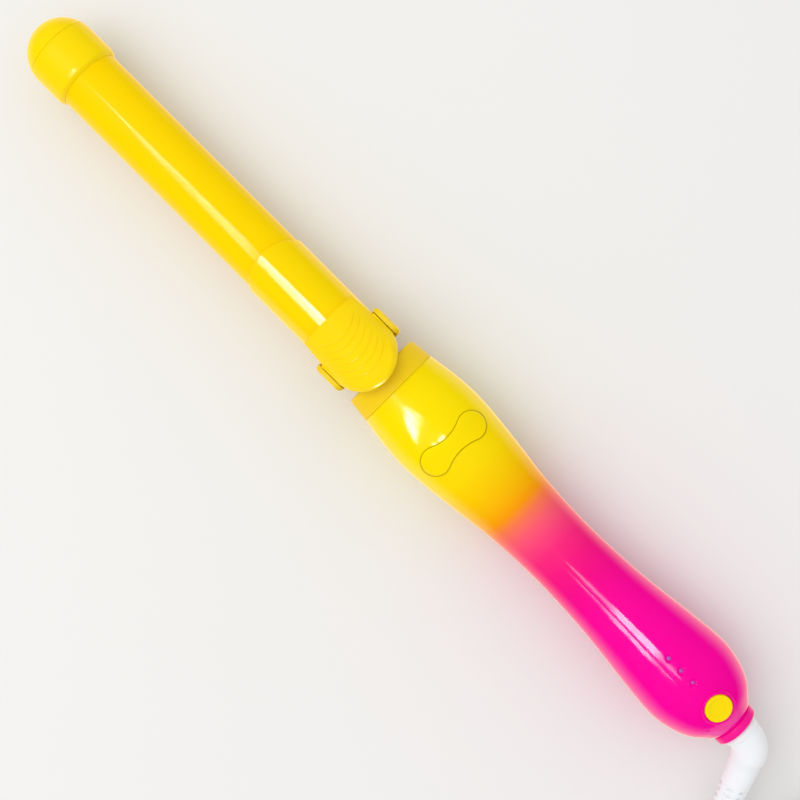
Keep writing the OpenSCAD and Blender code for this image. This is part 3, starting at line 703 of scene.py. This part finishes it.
def build_strain_relief():
    """Swivel base, round elbow and a sleeve with rows of short slots that tapers to the cord."""
    bend_at, bend_r, tube_r = 384.3, 9, 6.8
    bend, roll, bend_steps = math.radians(65), math.radians(18), 14
    sleeve_len, sleeve_r, sleeve_taper, sides = 47, 6.5, 2.75, 120
    slot_from, slot_step, slot_rows, slots_round, slot_depth, core_r = 13.2, 2.8, 11, 6, 1.1, 3.1
    to_row = spot(bend_at) @ Matrix.Rotation(-roll, 4, "X")
    path, radii, depths = [], [], []

    def add(x, y, r, depth=0.0):
        path.append(to_row @ Vector((x, y, 0)))
        radii.append(r * MM)
        depths.append(depth * MM)

    for x, r in ((2.7, 6.7), (2.65, 7.1), (2.4, 7.3), (0.6, 7.32), (0.2, 7.2), (0, 7.0)):
        add(x, 0, r)
    for k in range(1, bend_steps + 1):
        a = bend * k / bend_steps
        swell = 0.15 * math.sin(math.pi * k / bend_steps)
        add(-bend_r * math.sin(a), bend_r * (1 - math.cos(a)), tube_r + swell)
    ex, ey = -bend_r * math.sin(bend), bend_r * (1 - math.cos(bend))
    dx, dy = -math.cos(bend), math.sin(bend)

    def taper(s):
        return sleeve_r - sleeve_taper * s / sleeve_len

    stops = [(0.8, 6.72, 0), (1.3, taper(1.3), 0), (6, taper(6), 0), (12, taper(12), 0)]
    for k in range(slot_rows):
        s = slot_from + slot_step * k
        deep = min(slot_depth, taper(s) - core_r)
        for d, share in ((-0.12, 0), (0, 0.1), (0.1, 0.85), (0.25, 1),
                         (0.8, 1), (0.95, 0.85), (1.05, 0.1), (1.17, 0)):
            stops.append((s + d, taper(s + d), deep * share))
    stops += [(46, taper(46), 0), (46.6, taper(46.6) - 0.12, 0), (46.9, taper(47) - 0.35, 0),
              (47, taper(47) - 0.6, 0)]
    for s, r, depth in stops:
        add(ex + dx * s, ey + dy * s, r, depth)
    relief = tube("cord_sleeve", path, radii, WHITE_RUBBER, sides=sides)
    # A slot is open where the angle round the sleeve, counted from its top, is in a slot's share
    down_sleeve = (path[-1] - path[-2]).normalized()
    top = (Vector((0, 0, 1)) - down_sleeve * down_sleeve.z).normalized()
    for i, v in enumerate(relief.data.vertices):
        ring = i // sides
        if ring < len(path) and depths[ring]:
            out = (v.co - path[ring]).normalized()
            open_part = min(1, max(0, (0.3 - math.cos(slots_round * out.angle(top))) / 0.6))
            v.co -= out * depths[ring] * open_part
    return finish_piece(relief, "cord", "white_rubber", "strain_relief")


cord, cord_line = build_cord()
tie = build_tie()
plug = build_plug()
blades = build_blades()
relief = build_strain_relief()


# ---- Cool tip and barrel ----

def arc(center, r, a0, a1, steps):
    """Points (station, radius) of an arc about a point on the axis; angle 0 is towards the tip."""
    angles = [math.radians(a0 + (a1 - a0) * k / steps) for k in range(steps + 1)]
    return [(center - r * math.cos(a), r * math.sin(a)) for a in angles]


def build_tip():
    """Domed cap and the band behind it, with a fine parting line between them."""
    seam_angle = math.degrees(math.acos((DOME_MID - DOME_SEAM) / TIP_R))
    outer = arc(DOME_MID, TIP_R, 0.4, seam_angle - 0.5, 40)
    rim = [(DOME_SEAM - 0.03, outer[-1][1] - 0.06), (DOME_SEAM - 0.01, outer[-1][1] - 0.2)]
    inner = [(DOME_SEAM - 0.01, 12.2), (10, 11), (5, 7), (3.2, 0.1)]
    dome = lathe("dome_cap", outer + rim + inner, TIP_YELLOW)
    finish_piece(dome, "barrel", "cool_tip", "tip_dome")

    lead_in = [(DOME_SEAM + 0.01, TIP_R - 0.6), (DOME_SEAM + 0.04, TIP_R - 0.45)]
    front = arc(DOME_MID, TIP_R, seam_angle + 0.5, 90, 6)
    back = rounded([(20, TIP_R), (TIP_LEN - 3, TIP_R), (TIP_LEN - 1.2, TIP_R - 0.2),
                    (TIP_LEN, TIP_R - 1.2), (TIP_LEN, BARREL_R - 0.3)], (0, 2.5, 1.5, 0.4, 0), 6)
    bore = [(22, BARREL_R - 0.3), (DOME_SEAM + 0.01, 11.9)]
    ring = lathe("tip_band", lead_in + front + back + bore, TIP_YELLOW)
    finish_piece(ring, "barrel", "cool_tip", "tip_ring")


def build_barrel():
    front, back, bore = 21, 172, 11.7
    outline = rounded([(front, BARREL_R), (back, BARREL_R), (back, bore), (front, bore)],
                      (0, 0.25, 0.2, 0), 4)
    barrel = lathe("barrel", outline, BARREL_YELLOW, segments=192)
    finish_piece(barrel, "barrel", "barrel_coat", "barrel_tube")


def build_spring():
    """Return spring under the lever."""
    at, seat, top, wire, mean_r, turns, steps = 182, 10.3, 19.5, 0.5, 2.5, 5, 32
    closed = 0.12
    to_row = spot(at, turn=True)
    points = []
    for k in range(turns * steps + 1):
        t = k / (turns * steps)
        f = min(1, max(0, (t - closed) / (1 - 2 * closed)))
        a = 2 * math.pi * k / steps
        points.append(to_row @ Vector((mean_r * math.cos(a), mean_r * math.sin(a),
                                       seat + wire + (top - seat - 2 * wire) * f)))
    spring = tube("return_spring", points, [wire * MM] * len(points), STEEL, sides=14)
    finish_piece(spring, "barrel", "steel", "clamp_spring")
    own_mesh(spring)


# ---- Clamp and thumb lever ----

def build_clamp():
    """Half-round spoon with a curved nose, of thin sheet with a rolled front edge."""
    around, along = 96, 56
    edge_len, edge_in = 0.35, 0.16
    n, columns = around + 1, along + 1
    points, faces = [], []
    for radius, roll in ((CLAMP_OUT, -edge_in), (CLAMP_IN, edge_in)):
        for i in range(n):
            a = math.radians(-90 + 180 * i / around)
            side = CLAMP_OUT * math.sin(a)
            front = CLAMP_FRONT + CLAMP_NOSE_R - math.sqrt(CLAMP_NOSE_R**2 - side**2)
            for k in range(columns):
                s = front + (CLAMP_BACK - front) * (k / along)**1.3
                r = radius + roll * max(0, 1 - (s - front) / edge_len)**2
                points.append(turned(row(s, r * math.sin(a), r * math.cos(a))))
    per = n * columns
    for i in range(n - 1):
        for k in range(columns - 1):
            a, b = i * columns + k, (i + 1) * columns + k
            faces += [(a + p, b + p, b + 1 + p, a + 1 + p) for p in (0, per)]
    for i in range(n - 1):
        for k in (0, columns - 1):
            a, b = i * columns + k, (i + 1) * columns + k
            faces.append((a, b, per + b, per + a))
    for i in (0, n - 1):
        for k in range(columns - 1):
            a = i * columns + k
            faces.append((a, a + 1, per + a + 1, per + a))
    clamp = from_mesh("clamp", points, faces, CLAMP_YELLOW, 50)
    finish_piece(clamp, "clamp", "clamp_metal", "clamp_spoon")


def lever_height(s, y, skin):
    """Height over the axis of the lever's skin: 0 is outside and 1 is inside.

    It lies on the barrel like a saddle, and from LEVER_RISE_AT back rises as a slanted arch."""
    base = (15.0, 13.5)[skin]
    back = s - LEVER_RISE_AT
    arch_r = base + max(0.0, back) * (0.8, 0.7)[skin] / 45
    over = math.sqrt(max(arch_r**2 - y * y, 0)) / math.cos(LEVER_RISE)
    arch = math.tan(LEVER_RISE) * back + over
    saddle = math.sqrt(max(base**2 - y * y, 0))
    blend = 0.8
    gap = max(-1, min(1, (arch - saddle) / blend))
    return max(arch, saddle) + blend / 4 * (1 - abs(gap)) ** 2


def lever_top(s, y, rim):
    """Top of the lever: six curved thumb grooves, a rolled rim and a low lip. rim is mm from the edge."""
    grooves, groove_r, groove_step, last_groove, groove_end = 6, 13.5, 3.3, 185.2, 10.6
    depth, width = 0.36, 0.3
    z = lever_height(s, y, 0)
    if abs(y) < groove_end:
        bow = groove_r - math.sqrt(groove_r**2 - y * y)
        fade = min(1, (groove_end - abs(y)) / 1.4)
        for k in range(grooves):
            d = s - (last_groove - groove_step * k - bow)
            z -= depth * fade * math.exp(-(d / width) ** 2)
    lip = max(0, min(1, (s - LIP_AT) / 6))
    roll = 0.7 + lip
    if rim < roll:
        z -= roll * (1 - math.sqrt(max(0, 1 - (1 - rim / roll) ** 2))) * 0.85
    return z + 0.45 * lip * math.exp(-((rim - 2.0) / 1.1) ** 2)


def lever_grid():
    """Nested U-shaped rows in plan, from the rim to the middle: lists of (station, side, rim)."""
    rims = [0, 0.04, 0.1, 0.2, 0.35, 0.5, 0.7, 0.9, 1.2] + list(np.arange(1.5, LEVER_HALF - 0.2, 0.33))
    front = np.linspace(LEVER_FRONT, LEVER_END_MID, 64)[:-1]
    end_steps = 96
    rows = []
    for rim in rims:
        scale = (LEVER_HALF - rim) / LEVER_HALF
        side = []
        for s in front:
            wide = min(1, (s - LEVER_FRONT) / (LEVER_WIDE_AT - LEVER_FRONT))
            half = LEVER_FRONT_HALF + (LEVER_HALF - LEVER_FRONT_HALF) * wide
            side.append((s, -half * scale, rim))
        end = []
        for k in range(end_steps + 1):
            a = -math.pi / 2 + math.pi * k / end_steps
            r = LEVER_HALF * scale
            end.append((LEVER_END_MID + r * math.cos(a), r * math.sin(a), rim))
        rows.append(side + end + [(s, -y, rim) for s, y, _ in reversed(side)])
    return rows


def build_lever():
    """Thumb lever: its two skins, their edges, and a round-cornered cheek at each pivot."""
    thinnest = 0.3
    rows = lever_grid()
    n = len(rows[0])
    points, faces = [], []
    for skin in (0, 1):
        for s, y, rim in (place for line in rows for place in line):
            z = lever_top(s, y, rim)
            if skin:
                z = min(lever_height(s, y, 1), z - thinnest)
            points.append(turned(row(s, y, z)))
    per = len(rows) * n
    for skin in (0, 1):
        b = skin * per
        for i in range(len(rows) - 1):
            for k in range(n - 1):
                a, c = b + i * n + k, b + (i + 1) * n + k
                faces.append((a, a + 1, c + 1, c))
        last = b + (len(rows) - 1) * n
        for k in range(n // 2):
            a, c = last + k, last + n - 1 - k
            if k + 1 < n - 2 - k:
                faces.append((a, a + 1, c - 1, c))
            else:
                faces.append((a, a + 1, c))
    for k in range(n - 1):
        faces.append((k, k + 1, per + k + 1, per + k))
    for i in range(len(rows) - 1):
        for k in (0, n - 1):
            a, c = i * n + k, (i + 1) * n + k
            faces.append((a, c, per + c, per + a))
    ends = ((len(rows) - 1) * n, len(rows) * n - 1)
    faces.append((ends[0], ends[1], per + ends[1], per + ends[0]))
    lever = from_mesh("thumb_press", points, faces, LEVER_YELLOW, 55)
    cheeks = [lever]
    half, inside = 5.2, 13
    outline = rounded([(-half, -half), (half, -half), (half, 5), (-half, 5)], (5.1, 5.1, 0, 0), 12)
    to_row = spot(PIVOT_AT, PIVOT_UP, turn=True) @ Matrix.Rotation(math.pi / 2, 4, "X")
    for side in (-1, 1):
        low, high = sorted((-side * inside, -side * LEVER_HALF))
        cheek = prism("cheek", outline, low, high, to_row)
        cheek.data.materials.append(LEVER_YELLOW)
        cheeks.append(cheek)
    lever = joined("thumb_press", cheeks)
    finish_piece(lever, "clamp", "lever_plastic", "thumb_lever")


# ---- Handle ----

def peanut(grow):
    """Outline of the rocker, widened by grow, as (along, across) points, clockwise from the +Y lobe."""
    steps, waist_steps = 26, 13
    mid = WAIST_HALF + WAIST_R
    lean = math.atan2(LOBE_Y, mid)
    lobe_r, waist_r = LOBE_R + grow, WAIST_R - grow
    quarter = []
    for k in range(steps + 1):
        a = math.pi / 2 - (math.pi / 2 + lean) * k / steps
        quarter.append((lobe_r * math.cos(a), LOBE_Y + lobe_r * math.sin(a)))
    for k in range(1, waist_steps + 1):
        a = math.pi - lean * (1 - k / waist_steps)
        quarter.append((mid + waist_r * math.cos(a), waist_r * math.sin(a)))
    right = quarter + [(x, -y) for x, y in reversed(quarter[:-1])]
    return right + [(-x, y) for x, y in reversed(right[1:-1])]


def handle_outline(front, back):
    """Closed (station, radius) outline of the shell wall, with its front edge a little eased."""
    step, bore, edge = 0.9, 7.0, 0.18
    count = round((back - front) / step)
    stations = [front + (back - front) * k / count for k in range(count + 1)]
    outer = [(s, handle_r(s)) for s in stations]
    inner = [(s, max(bore, handle_r(s) - WALL)) for s in reversed(stations[::4])]
    outer[0] = (front, outer[0][1] - edge)
    outer.insert(1, (front + 0.05, outer[0][1] + edge * 0.6))
    outer.insert(2, (front + 0.16, handle_r(front + 0.16)))
    outer[-1] = (back, outer[-1][1] - edge)
    return outer + inner


def true_normals(o):
    """Sets the shell's normals from its curve, so that the cut edges don't disturb its gloss."""
    d = 0.05
    mesh = o.data
    normals = []
    for polygon in mesh.polygons:
        for li in polygon.loop_indices:
            co = mesh.vertices[mesh.loops[li].vertex_index].co
            station = TIP_X - co.x / MM
            y, z = co.y / MM, co.z / MM - AXIS_Z
            r = math.hypot(y, z)
            normal = polygon.normal
            if SHELL_FRONT < station < SHELL_BACK and r > 1:
                lean = (handle_r(station + d) - handle_r(station - d)) / (2 * d)
                smooth = Vector((lean, y / r, z / r)).normalized()
                if abs(r - handle_r(station)) < d and smooth.dot(normal) > 0.8:
                    normal = smooth
            normals.append(tuple(normal))
    mesh.normals_split_custom_set(normals)


def build_shells():
    """Top shell with the openings of its controls and a bezel, and bottom shell with its screw holes."""
    nose_gap, bezel_wall, screw_r = 0.06, 1.22, 2.3
    outline = handle_outline(SHELL_FRONT + nose_gap, SHELL_BACK)
    top = lathe("handle_top", outline, HANDLE, segments=128, start=-math.pi / 2, sweep=math.pi)
    bottom = lathe("handle_bottom", outline, HANDLE, segments=128, start=math.pi / 2, sweep=math.pi)
    button = spot(BUTTON_AT, BUTTON_UP, BUTTON_TILT)
    holes = [prism("rocker_hole", peanut(ROCKER_GAP), 6, 30, spot(ROCKER_AT))]
    holes.append(prism("button_hole", circle_points(BUTTON_R + bezel_wall, 96), -5, 12, button))
    for s, _ in LENSES:
        holes.append(prism("lens_hole", circle_points(DIMPLE_R, 40), 5, 30, spot(s)))
    cut(top, *holes)
    true_normals(top)
    heads = []
    for station, side in SCREWS:
        for y in (-side, side):
            to_row = spot(station) @ Matrix.Translation((0, y, 0))
            heads.append(prism("screw_hole", circle_points(screw_r, 48), -30, -7, to_row))
    cut(bottom, *heads)
    true_normals(bottom)
    inside, outside, low = BUTTON_R + 0.2, BUTTON_R + 1.25, -2.9
    ring = rounded([(inside, low), (outside, low), (outside, 0.22), (inside, 0.3)], (0, 0, 0.45, 0.3), 5)
    bezel = spun("button_bezel", ring, HANDLE, button)
    finish_piece(top, "handle", "handle_shell", "handle_top_shell")
    finish_piece(bottom, "handle", "handle_shell", "handle_bottom_shell")
    finish_piece(bezel, "handle", "handle_shell")


def build_collars():
    """Collar at the handle's nose and ring round the cord's exit."""
    bore, lap, web = 9.9, 197.4, 190
    nose = [(NOSE_FRONT, bore), (NOSE_FRONT, 16.1), (NOSE_FRONT + 0.8, 16.62), (SHELL_FRONT, 17.6),
            (SHELL_FRONT, 17.2), (lap, 15.4), (lap, 14), (web, 14), (web, bore)]
    nose = rounded(nose, (0.2, 0.5, 1.2, 0.14, 0, 0, 0, 0, 0), 6)
    collar = lathe("collar", nose, COLLAR_YELLOW, segments=192)
    finish_piece(collar, "handle", "lever_plastic", "nose_collar")
    end = [(SHELL_BACK, 4.9), (SHELL_BACK, 9.3), (BODY_LEN, 9.3), (BODY_LEN, 4.9)]
    ring = lathe("end_ring", rounded(end, (0, 0.8, 1.2, 0.3), 8), END_PINK)
    finish_piece(ring, "handle", "end_pink", "end_collar")


def build_rocker():
    """Peanut-shaped rocker over the round of the handle, with a soft edge and two thumb dishes."""
    depths = [0, 0.05, 0.12, 0.25, 0.45, 0.7, 1.0, 1.4, 1.9, 2.5, 3.1, 3.45]
    proud, edge, dish_r, dish_depth, skirt_len = 0.3, 0.4, 4.2, 0.35, 0.45

    def surface(x, y, depth):
        r = handle_r(ROCKER_AT - x) + proud
        z = math.sqrt(r * r - y * y)
        if depth < edge:
            z -= edge * 0.8 * (1 - math.sqrt(1 - (1 - depth / edge) ** 2))
        dish = max(0, 1 - math.hypot(x, abs(y) - LOBE_Y) / dish_r)
        return z - dish_depth * dish * dish * (3 - 2 * dish)

    to_row = spot(ROCKER_AT)
    rings = [[(x, y, surface(x, y, d)) for x, y in peanut(-d)] for d in depths]
    skirt = [(x, y, surface(x, y, 0) - skirt_len) for x, y in peanut(0)]
    points = [to_row @ Vector(p) for ring in [skirt] + rings for p in ring]
    n = len(skirt)
    faces = [f for i in range(len(depths)) for f in strip(i * n, (i + 1) * n, n)]
    last = len(depths) * n
    half = n // 2
    for base in (0, last):
        for k in range(half):
            a, b = base + k, base + k + 1
            c, d = base + (n - k - 1) % n, base + (n - k) % n
            if k == 0:
                faces.append((base, b, c))
            elif k == half - 1:
                faces.append((a, b, d))
            else:
                faces.append((a, b, c, d))
    rocker = from_mesh("rocker", points, faces, HANDLE, 50)
    finish_piece(rocker, "rocker", "handle_shell", "rocker_button")
    build_rocker_ledge(to_row)


def build_rocker_ledge(to_row):
    """A ledge inside the shell that closes the gap round the rocker, low enough for it to tilt."""
    wide, narrow, top, bottom = 0.9, -1.0, 1.3, 1.75
    corners = ((wide, top), (wide, bottom), (narrow, bottom), (narrow, top))
    points = []
    for grow, low in corners:
        for x, y in peanut(grow):
            points.append(to_row @ Vector((x, y, math.sqrt(handle_r(ROCKER_AT - x)**2 - y * y) - low)))
    n, rows = len(points) // len(corners), len(corners)
    faces = [f for i in range(rows) for f in strip(i * n, (i + 1) % rows * n, n)]
    ledge = from_mesh("rocker_ledge", points, faces, HANDLE, 50)
    finish_piece(ledge, "handle", "handle_shell")


def build_power_button():
    """Round button with a soft edge, a shallow dish and a fine ring round its middle."""
    top, bottom, r = 0.8, -4, BUTTON_R
    below_top = [(0.02, 0.42), (1.5, 0.40), (2.8, 0.33), (3.05, 0.34), (3.2, 0.38), (3.35, 0.32),
                 (3.6, 0.26), (r - 1.1, 0.1), (r - 0.7, 0.02), (r - 0.4, 0.03), (r - 0.18, 0.14),
                 (r - 0.05, 0.36), (r, 0.7)]
    outline = [(x, top - drop) for x, drop in below_top] + [(r, bottom), (0.02, bottom)]
    button = spun("power_key", outline, BUTTON_YELLOW, spot(BUTTON_AT, BUTTON_UP, BUTTON_TILT), 128)
    finish_piece(button, "power_key", "button_yellow", "power_button")


def build_lenses():
    """Three small tinted lamps, each at the bottom of a shallow dimple in the shell."""
    lamps, seats = [], []
    edge = DIMPLE_R
    for s, lamp_r in LENSES:
        slope = math.atan(handle_r(s + 0.5) - handle_r(s - 0.5))
        to_row = spot(s, handle_r(s), -slope)
        seat = [(edge + 0.25, -0.9), (edge + 0.25, -0.06), (edge + 0.02, 0.02), (edge - 0.25, -0.03),
                (edge - 0.5, -0.22), (lamp_r + 0.12, -0.42), (lamp_r + 0.04, -0.5), (lamp_r + 0.04, -0.9)]
        seats.append(spun("seat", seat, HANDLE, to_row, 48))
        dome = [(0.01, 0.02), (lamp_r * 0.4, -0.02), (lamp_r * 0.75, -0.14), (lamp_r * 0.95, -0.32),
                (lamp_r, -0.5), (lamp_r, -1.5), (0.01, -1.5)]
        lamps.append(spun("lamp", dome, LENS, to_row, 48))
    finish_piece(joined("lamp_seats", seats), "handle", "handle_shell")
    finish_piece(joined("indicator_lamps", lamps), "handle", "lens", "indicator_lenses")


build_tip()
build_barrel()
build_spring()
build_clamp()
build_lever()
build_shells()
build_collars()
build_rocker()
build_power_button()
build_lenses()


# ---- The CAD nodes that stay ----

BEVELLED = {"barrel_base": 0.5, "pivot_screws": 0.12, "housing_screws": 0.2}
slots = {entry["node"]: entry["material_slot"] for entry in frame["record"]["subparts"]}
for name, node in frame["nodes"].items():
    material = BASE_YELLOW if name == "barrel_base" else SLOT_MATERIALS[slots[name]]
    for s in node.material_slots:
        s.material = material
    if name in BEVELLED:
        bevel(node, BEVELLED[name], 3, 50).harden_normals = True


# ---- Floor and light ----

def build_floor():
    n = Nodes(bpy.data.materials.new("floor_paper"))
    n.link(n.shaded(linear(235, 234, 232), n.noise(4), 0.995), n.shader.inputs["Base Color"])
    n.link(n.spread(n.noise(60), 0.85, 0.95), n.shader.inputs["Roughness"])
    n.set(Specular_IOR_Level=0.1)
    size = 40
    corners = [(-size, -size, 0), (size, -size, 0), (size, size, 0), (-size, size, 0)]
    mesh = bpy.data.meshes.new("floor")
    mesh.from_pydata(corners, [], [(0, 1, 2, 3)])
    floor = add_object("floor", mesh, n.owner)
    floor.visible_glossy = False
    floor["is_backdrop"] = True


def group(name, pieces):
    """A collection of pieces that a light is kept to."""
    found = bpy.data.collections.new(name)
    for o in pieces:
        found.objects.link(o)
    return found


def panel(name, corners, radiance, receivers):
    """A soft panel over the floor that shows only as a highlight, and only on its receivers."""
    n = Nodes(bpy.data.materials.new("glow"))
    n.tree.nodes.clear()
    light = n.add("ShaderNodeEmission", Strength=radiance)
    n.link(light.outputs["Emission"], n.add("ShaderNodeOutputMaterial").inputs["Surface"])
    mesh = bpy.data.meshes.new(name)
    mesh.from_pydata([(x, y, PANEL_HEIGHT) for x, y in corners], [], [tuple(range(len(corners)))])
    o = add_object(name, mesh, n.owner)
    o.visible_camera = False
    o.visible_diffuse = False
    o.visible_shadow = False
    o.light_linking.receiver_collection = receivers
    o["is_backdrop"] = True


PANEL_HEIGHT = 1.0

# Name, what it lights, radiance, and corners (x, y) in metres
PANELS = (
    ("front_near", "front", 18, ((0.10, 0.13), (0.43, 0.27), (0.43, 0.30), (0.10, 0.42))),
    ("front_far", "front", 18, ((0.10, 0.47), (0.36, 0.43), (0.36, 0.46), (0.10, 0.82))),
    ("shell_front", "shells", 25,
     ((0.15, 0.13), (0.265, 0.27), (0.305, 0.44), (0.24, 0.95), (0.065, 1.9), (0.11, 0.68))),
    ("rear_near", "rear", 19, ((-0.105, 0.04), (-0.105, 0.35), (-0.15, 0.34), (-0.15, 0.06))),
    ("rear_far", "rear", 16, ((-0.105, 0.47), (-0.105, 0.72), (-0.15, 0.70), (-0.15, 0.47))),
    ("rear_near_fade", "rear", 5, ((-0.15, 0.06), (-0.15, 0.34), (-0.25, 0.22))),
    ("rear_far_fade", "rear", 5, ((-0.15, 0.47), (-0.15, 0.70), (-0.24, 0.50))),
    ("lever_rim", "lever", 60,
     ((-1.7, 0.1), (-1.2, 1.3), (-0.75, 1.6), (-1.8, 3.6), (-2.9, 2.6), (-4.0, 0.4))),
)


def build_world():
    """Even pale light. Reflections see only a warm glow, from below the horizon."""
    world = bpy.data.worlds.new("studio")
    bpy.context.scene.world = world
    n = Nodes(world)
    even = n.tree.nodes["Background"]
    even.inputs["Color"].default_value = (0.99, 0.995, 1, 1)
    even.inputs["Strength"].default_value = 0.82
    warm = n.add("ShaderNodeBackground", Color=(1, 0.7, 0.48, 1))
    parts = n.add("ShaderNodeSeparateXYZ")
    n.link(n.add("ShaderNodeTexCoord").outputs["Generated"], parts.inputs["Vector"])
    n.link(n.map_range(parts.outputs["Z"], -0.5, -0.02, 1.4, 0.0), warm.inputs["Strength"])
    mix = n.add("ShaderNodeMixShader")
    n.link(n.add("ShaderNodeLightPath").outputs["Is Glossy Ray"], mix.inputs["Fac"])
    n.link(even.outputs["Background"], mix.inputs[1])
    n.link(warm.outputs["Background"], mix.inputs[2])
    n.link(mix.outputs["Shader"], n.tree.nodes["World Output"].inputs["Surface"])


def build_light():
    """The panels, each kept to some of the pieces, and a large soft lamp."""
    meshes = {o.name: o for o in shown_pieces() if o.type == "MESH"}
    front = ("dome_cap", "tip_band", "barrel", "clamp")
    lit = {
        "front": front,
        "shells": ("handle_top", "handle_bottom"),
        "rear": [name for name in meshes if name not in front + ("rocker", "thumb_press")],
        "lever": ("thumb_press",),
    }
    groups = {name: group(name, [meshes[piece] for piece in pieces]) for name, pieces in lit.items()}
    for name, receivers, radiance, corners in PANELS:
        panel(name, corners, radiance, groups[receivers])
    key = bpy.data.lights.new("overhead", "AREA")
    key.size = 1.4
    key.energy = 10.5
    lamp = add_object("overhead", key)
    lamp.location = (0.6, 0.55, 1.5)
    lamp.rotation_euler = (Vector((0, 0, 0)) - lamp.location).to_track_quat("-Z", "Y").to_euler()
    lamp.visible_camera = False
    lamp.visible_glossy = False
    bpy.context.scene.view_settings.view_transform = "Standard"


build_floor()
build_world()
build_light()
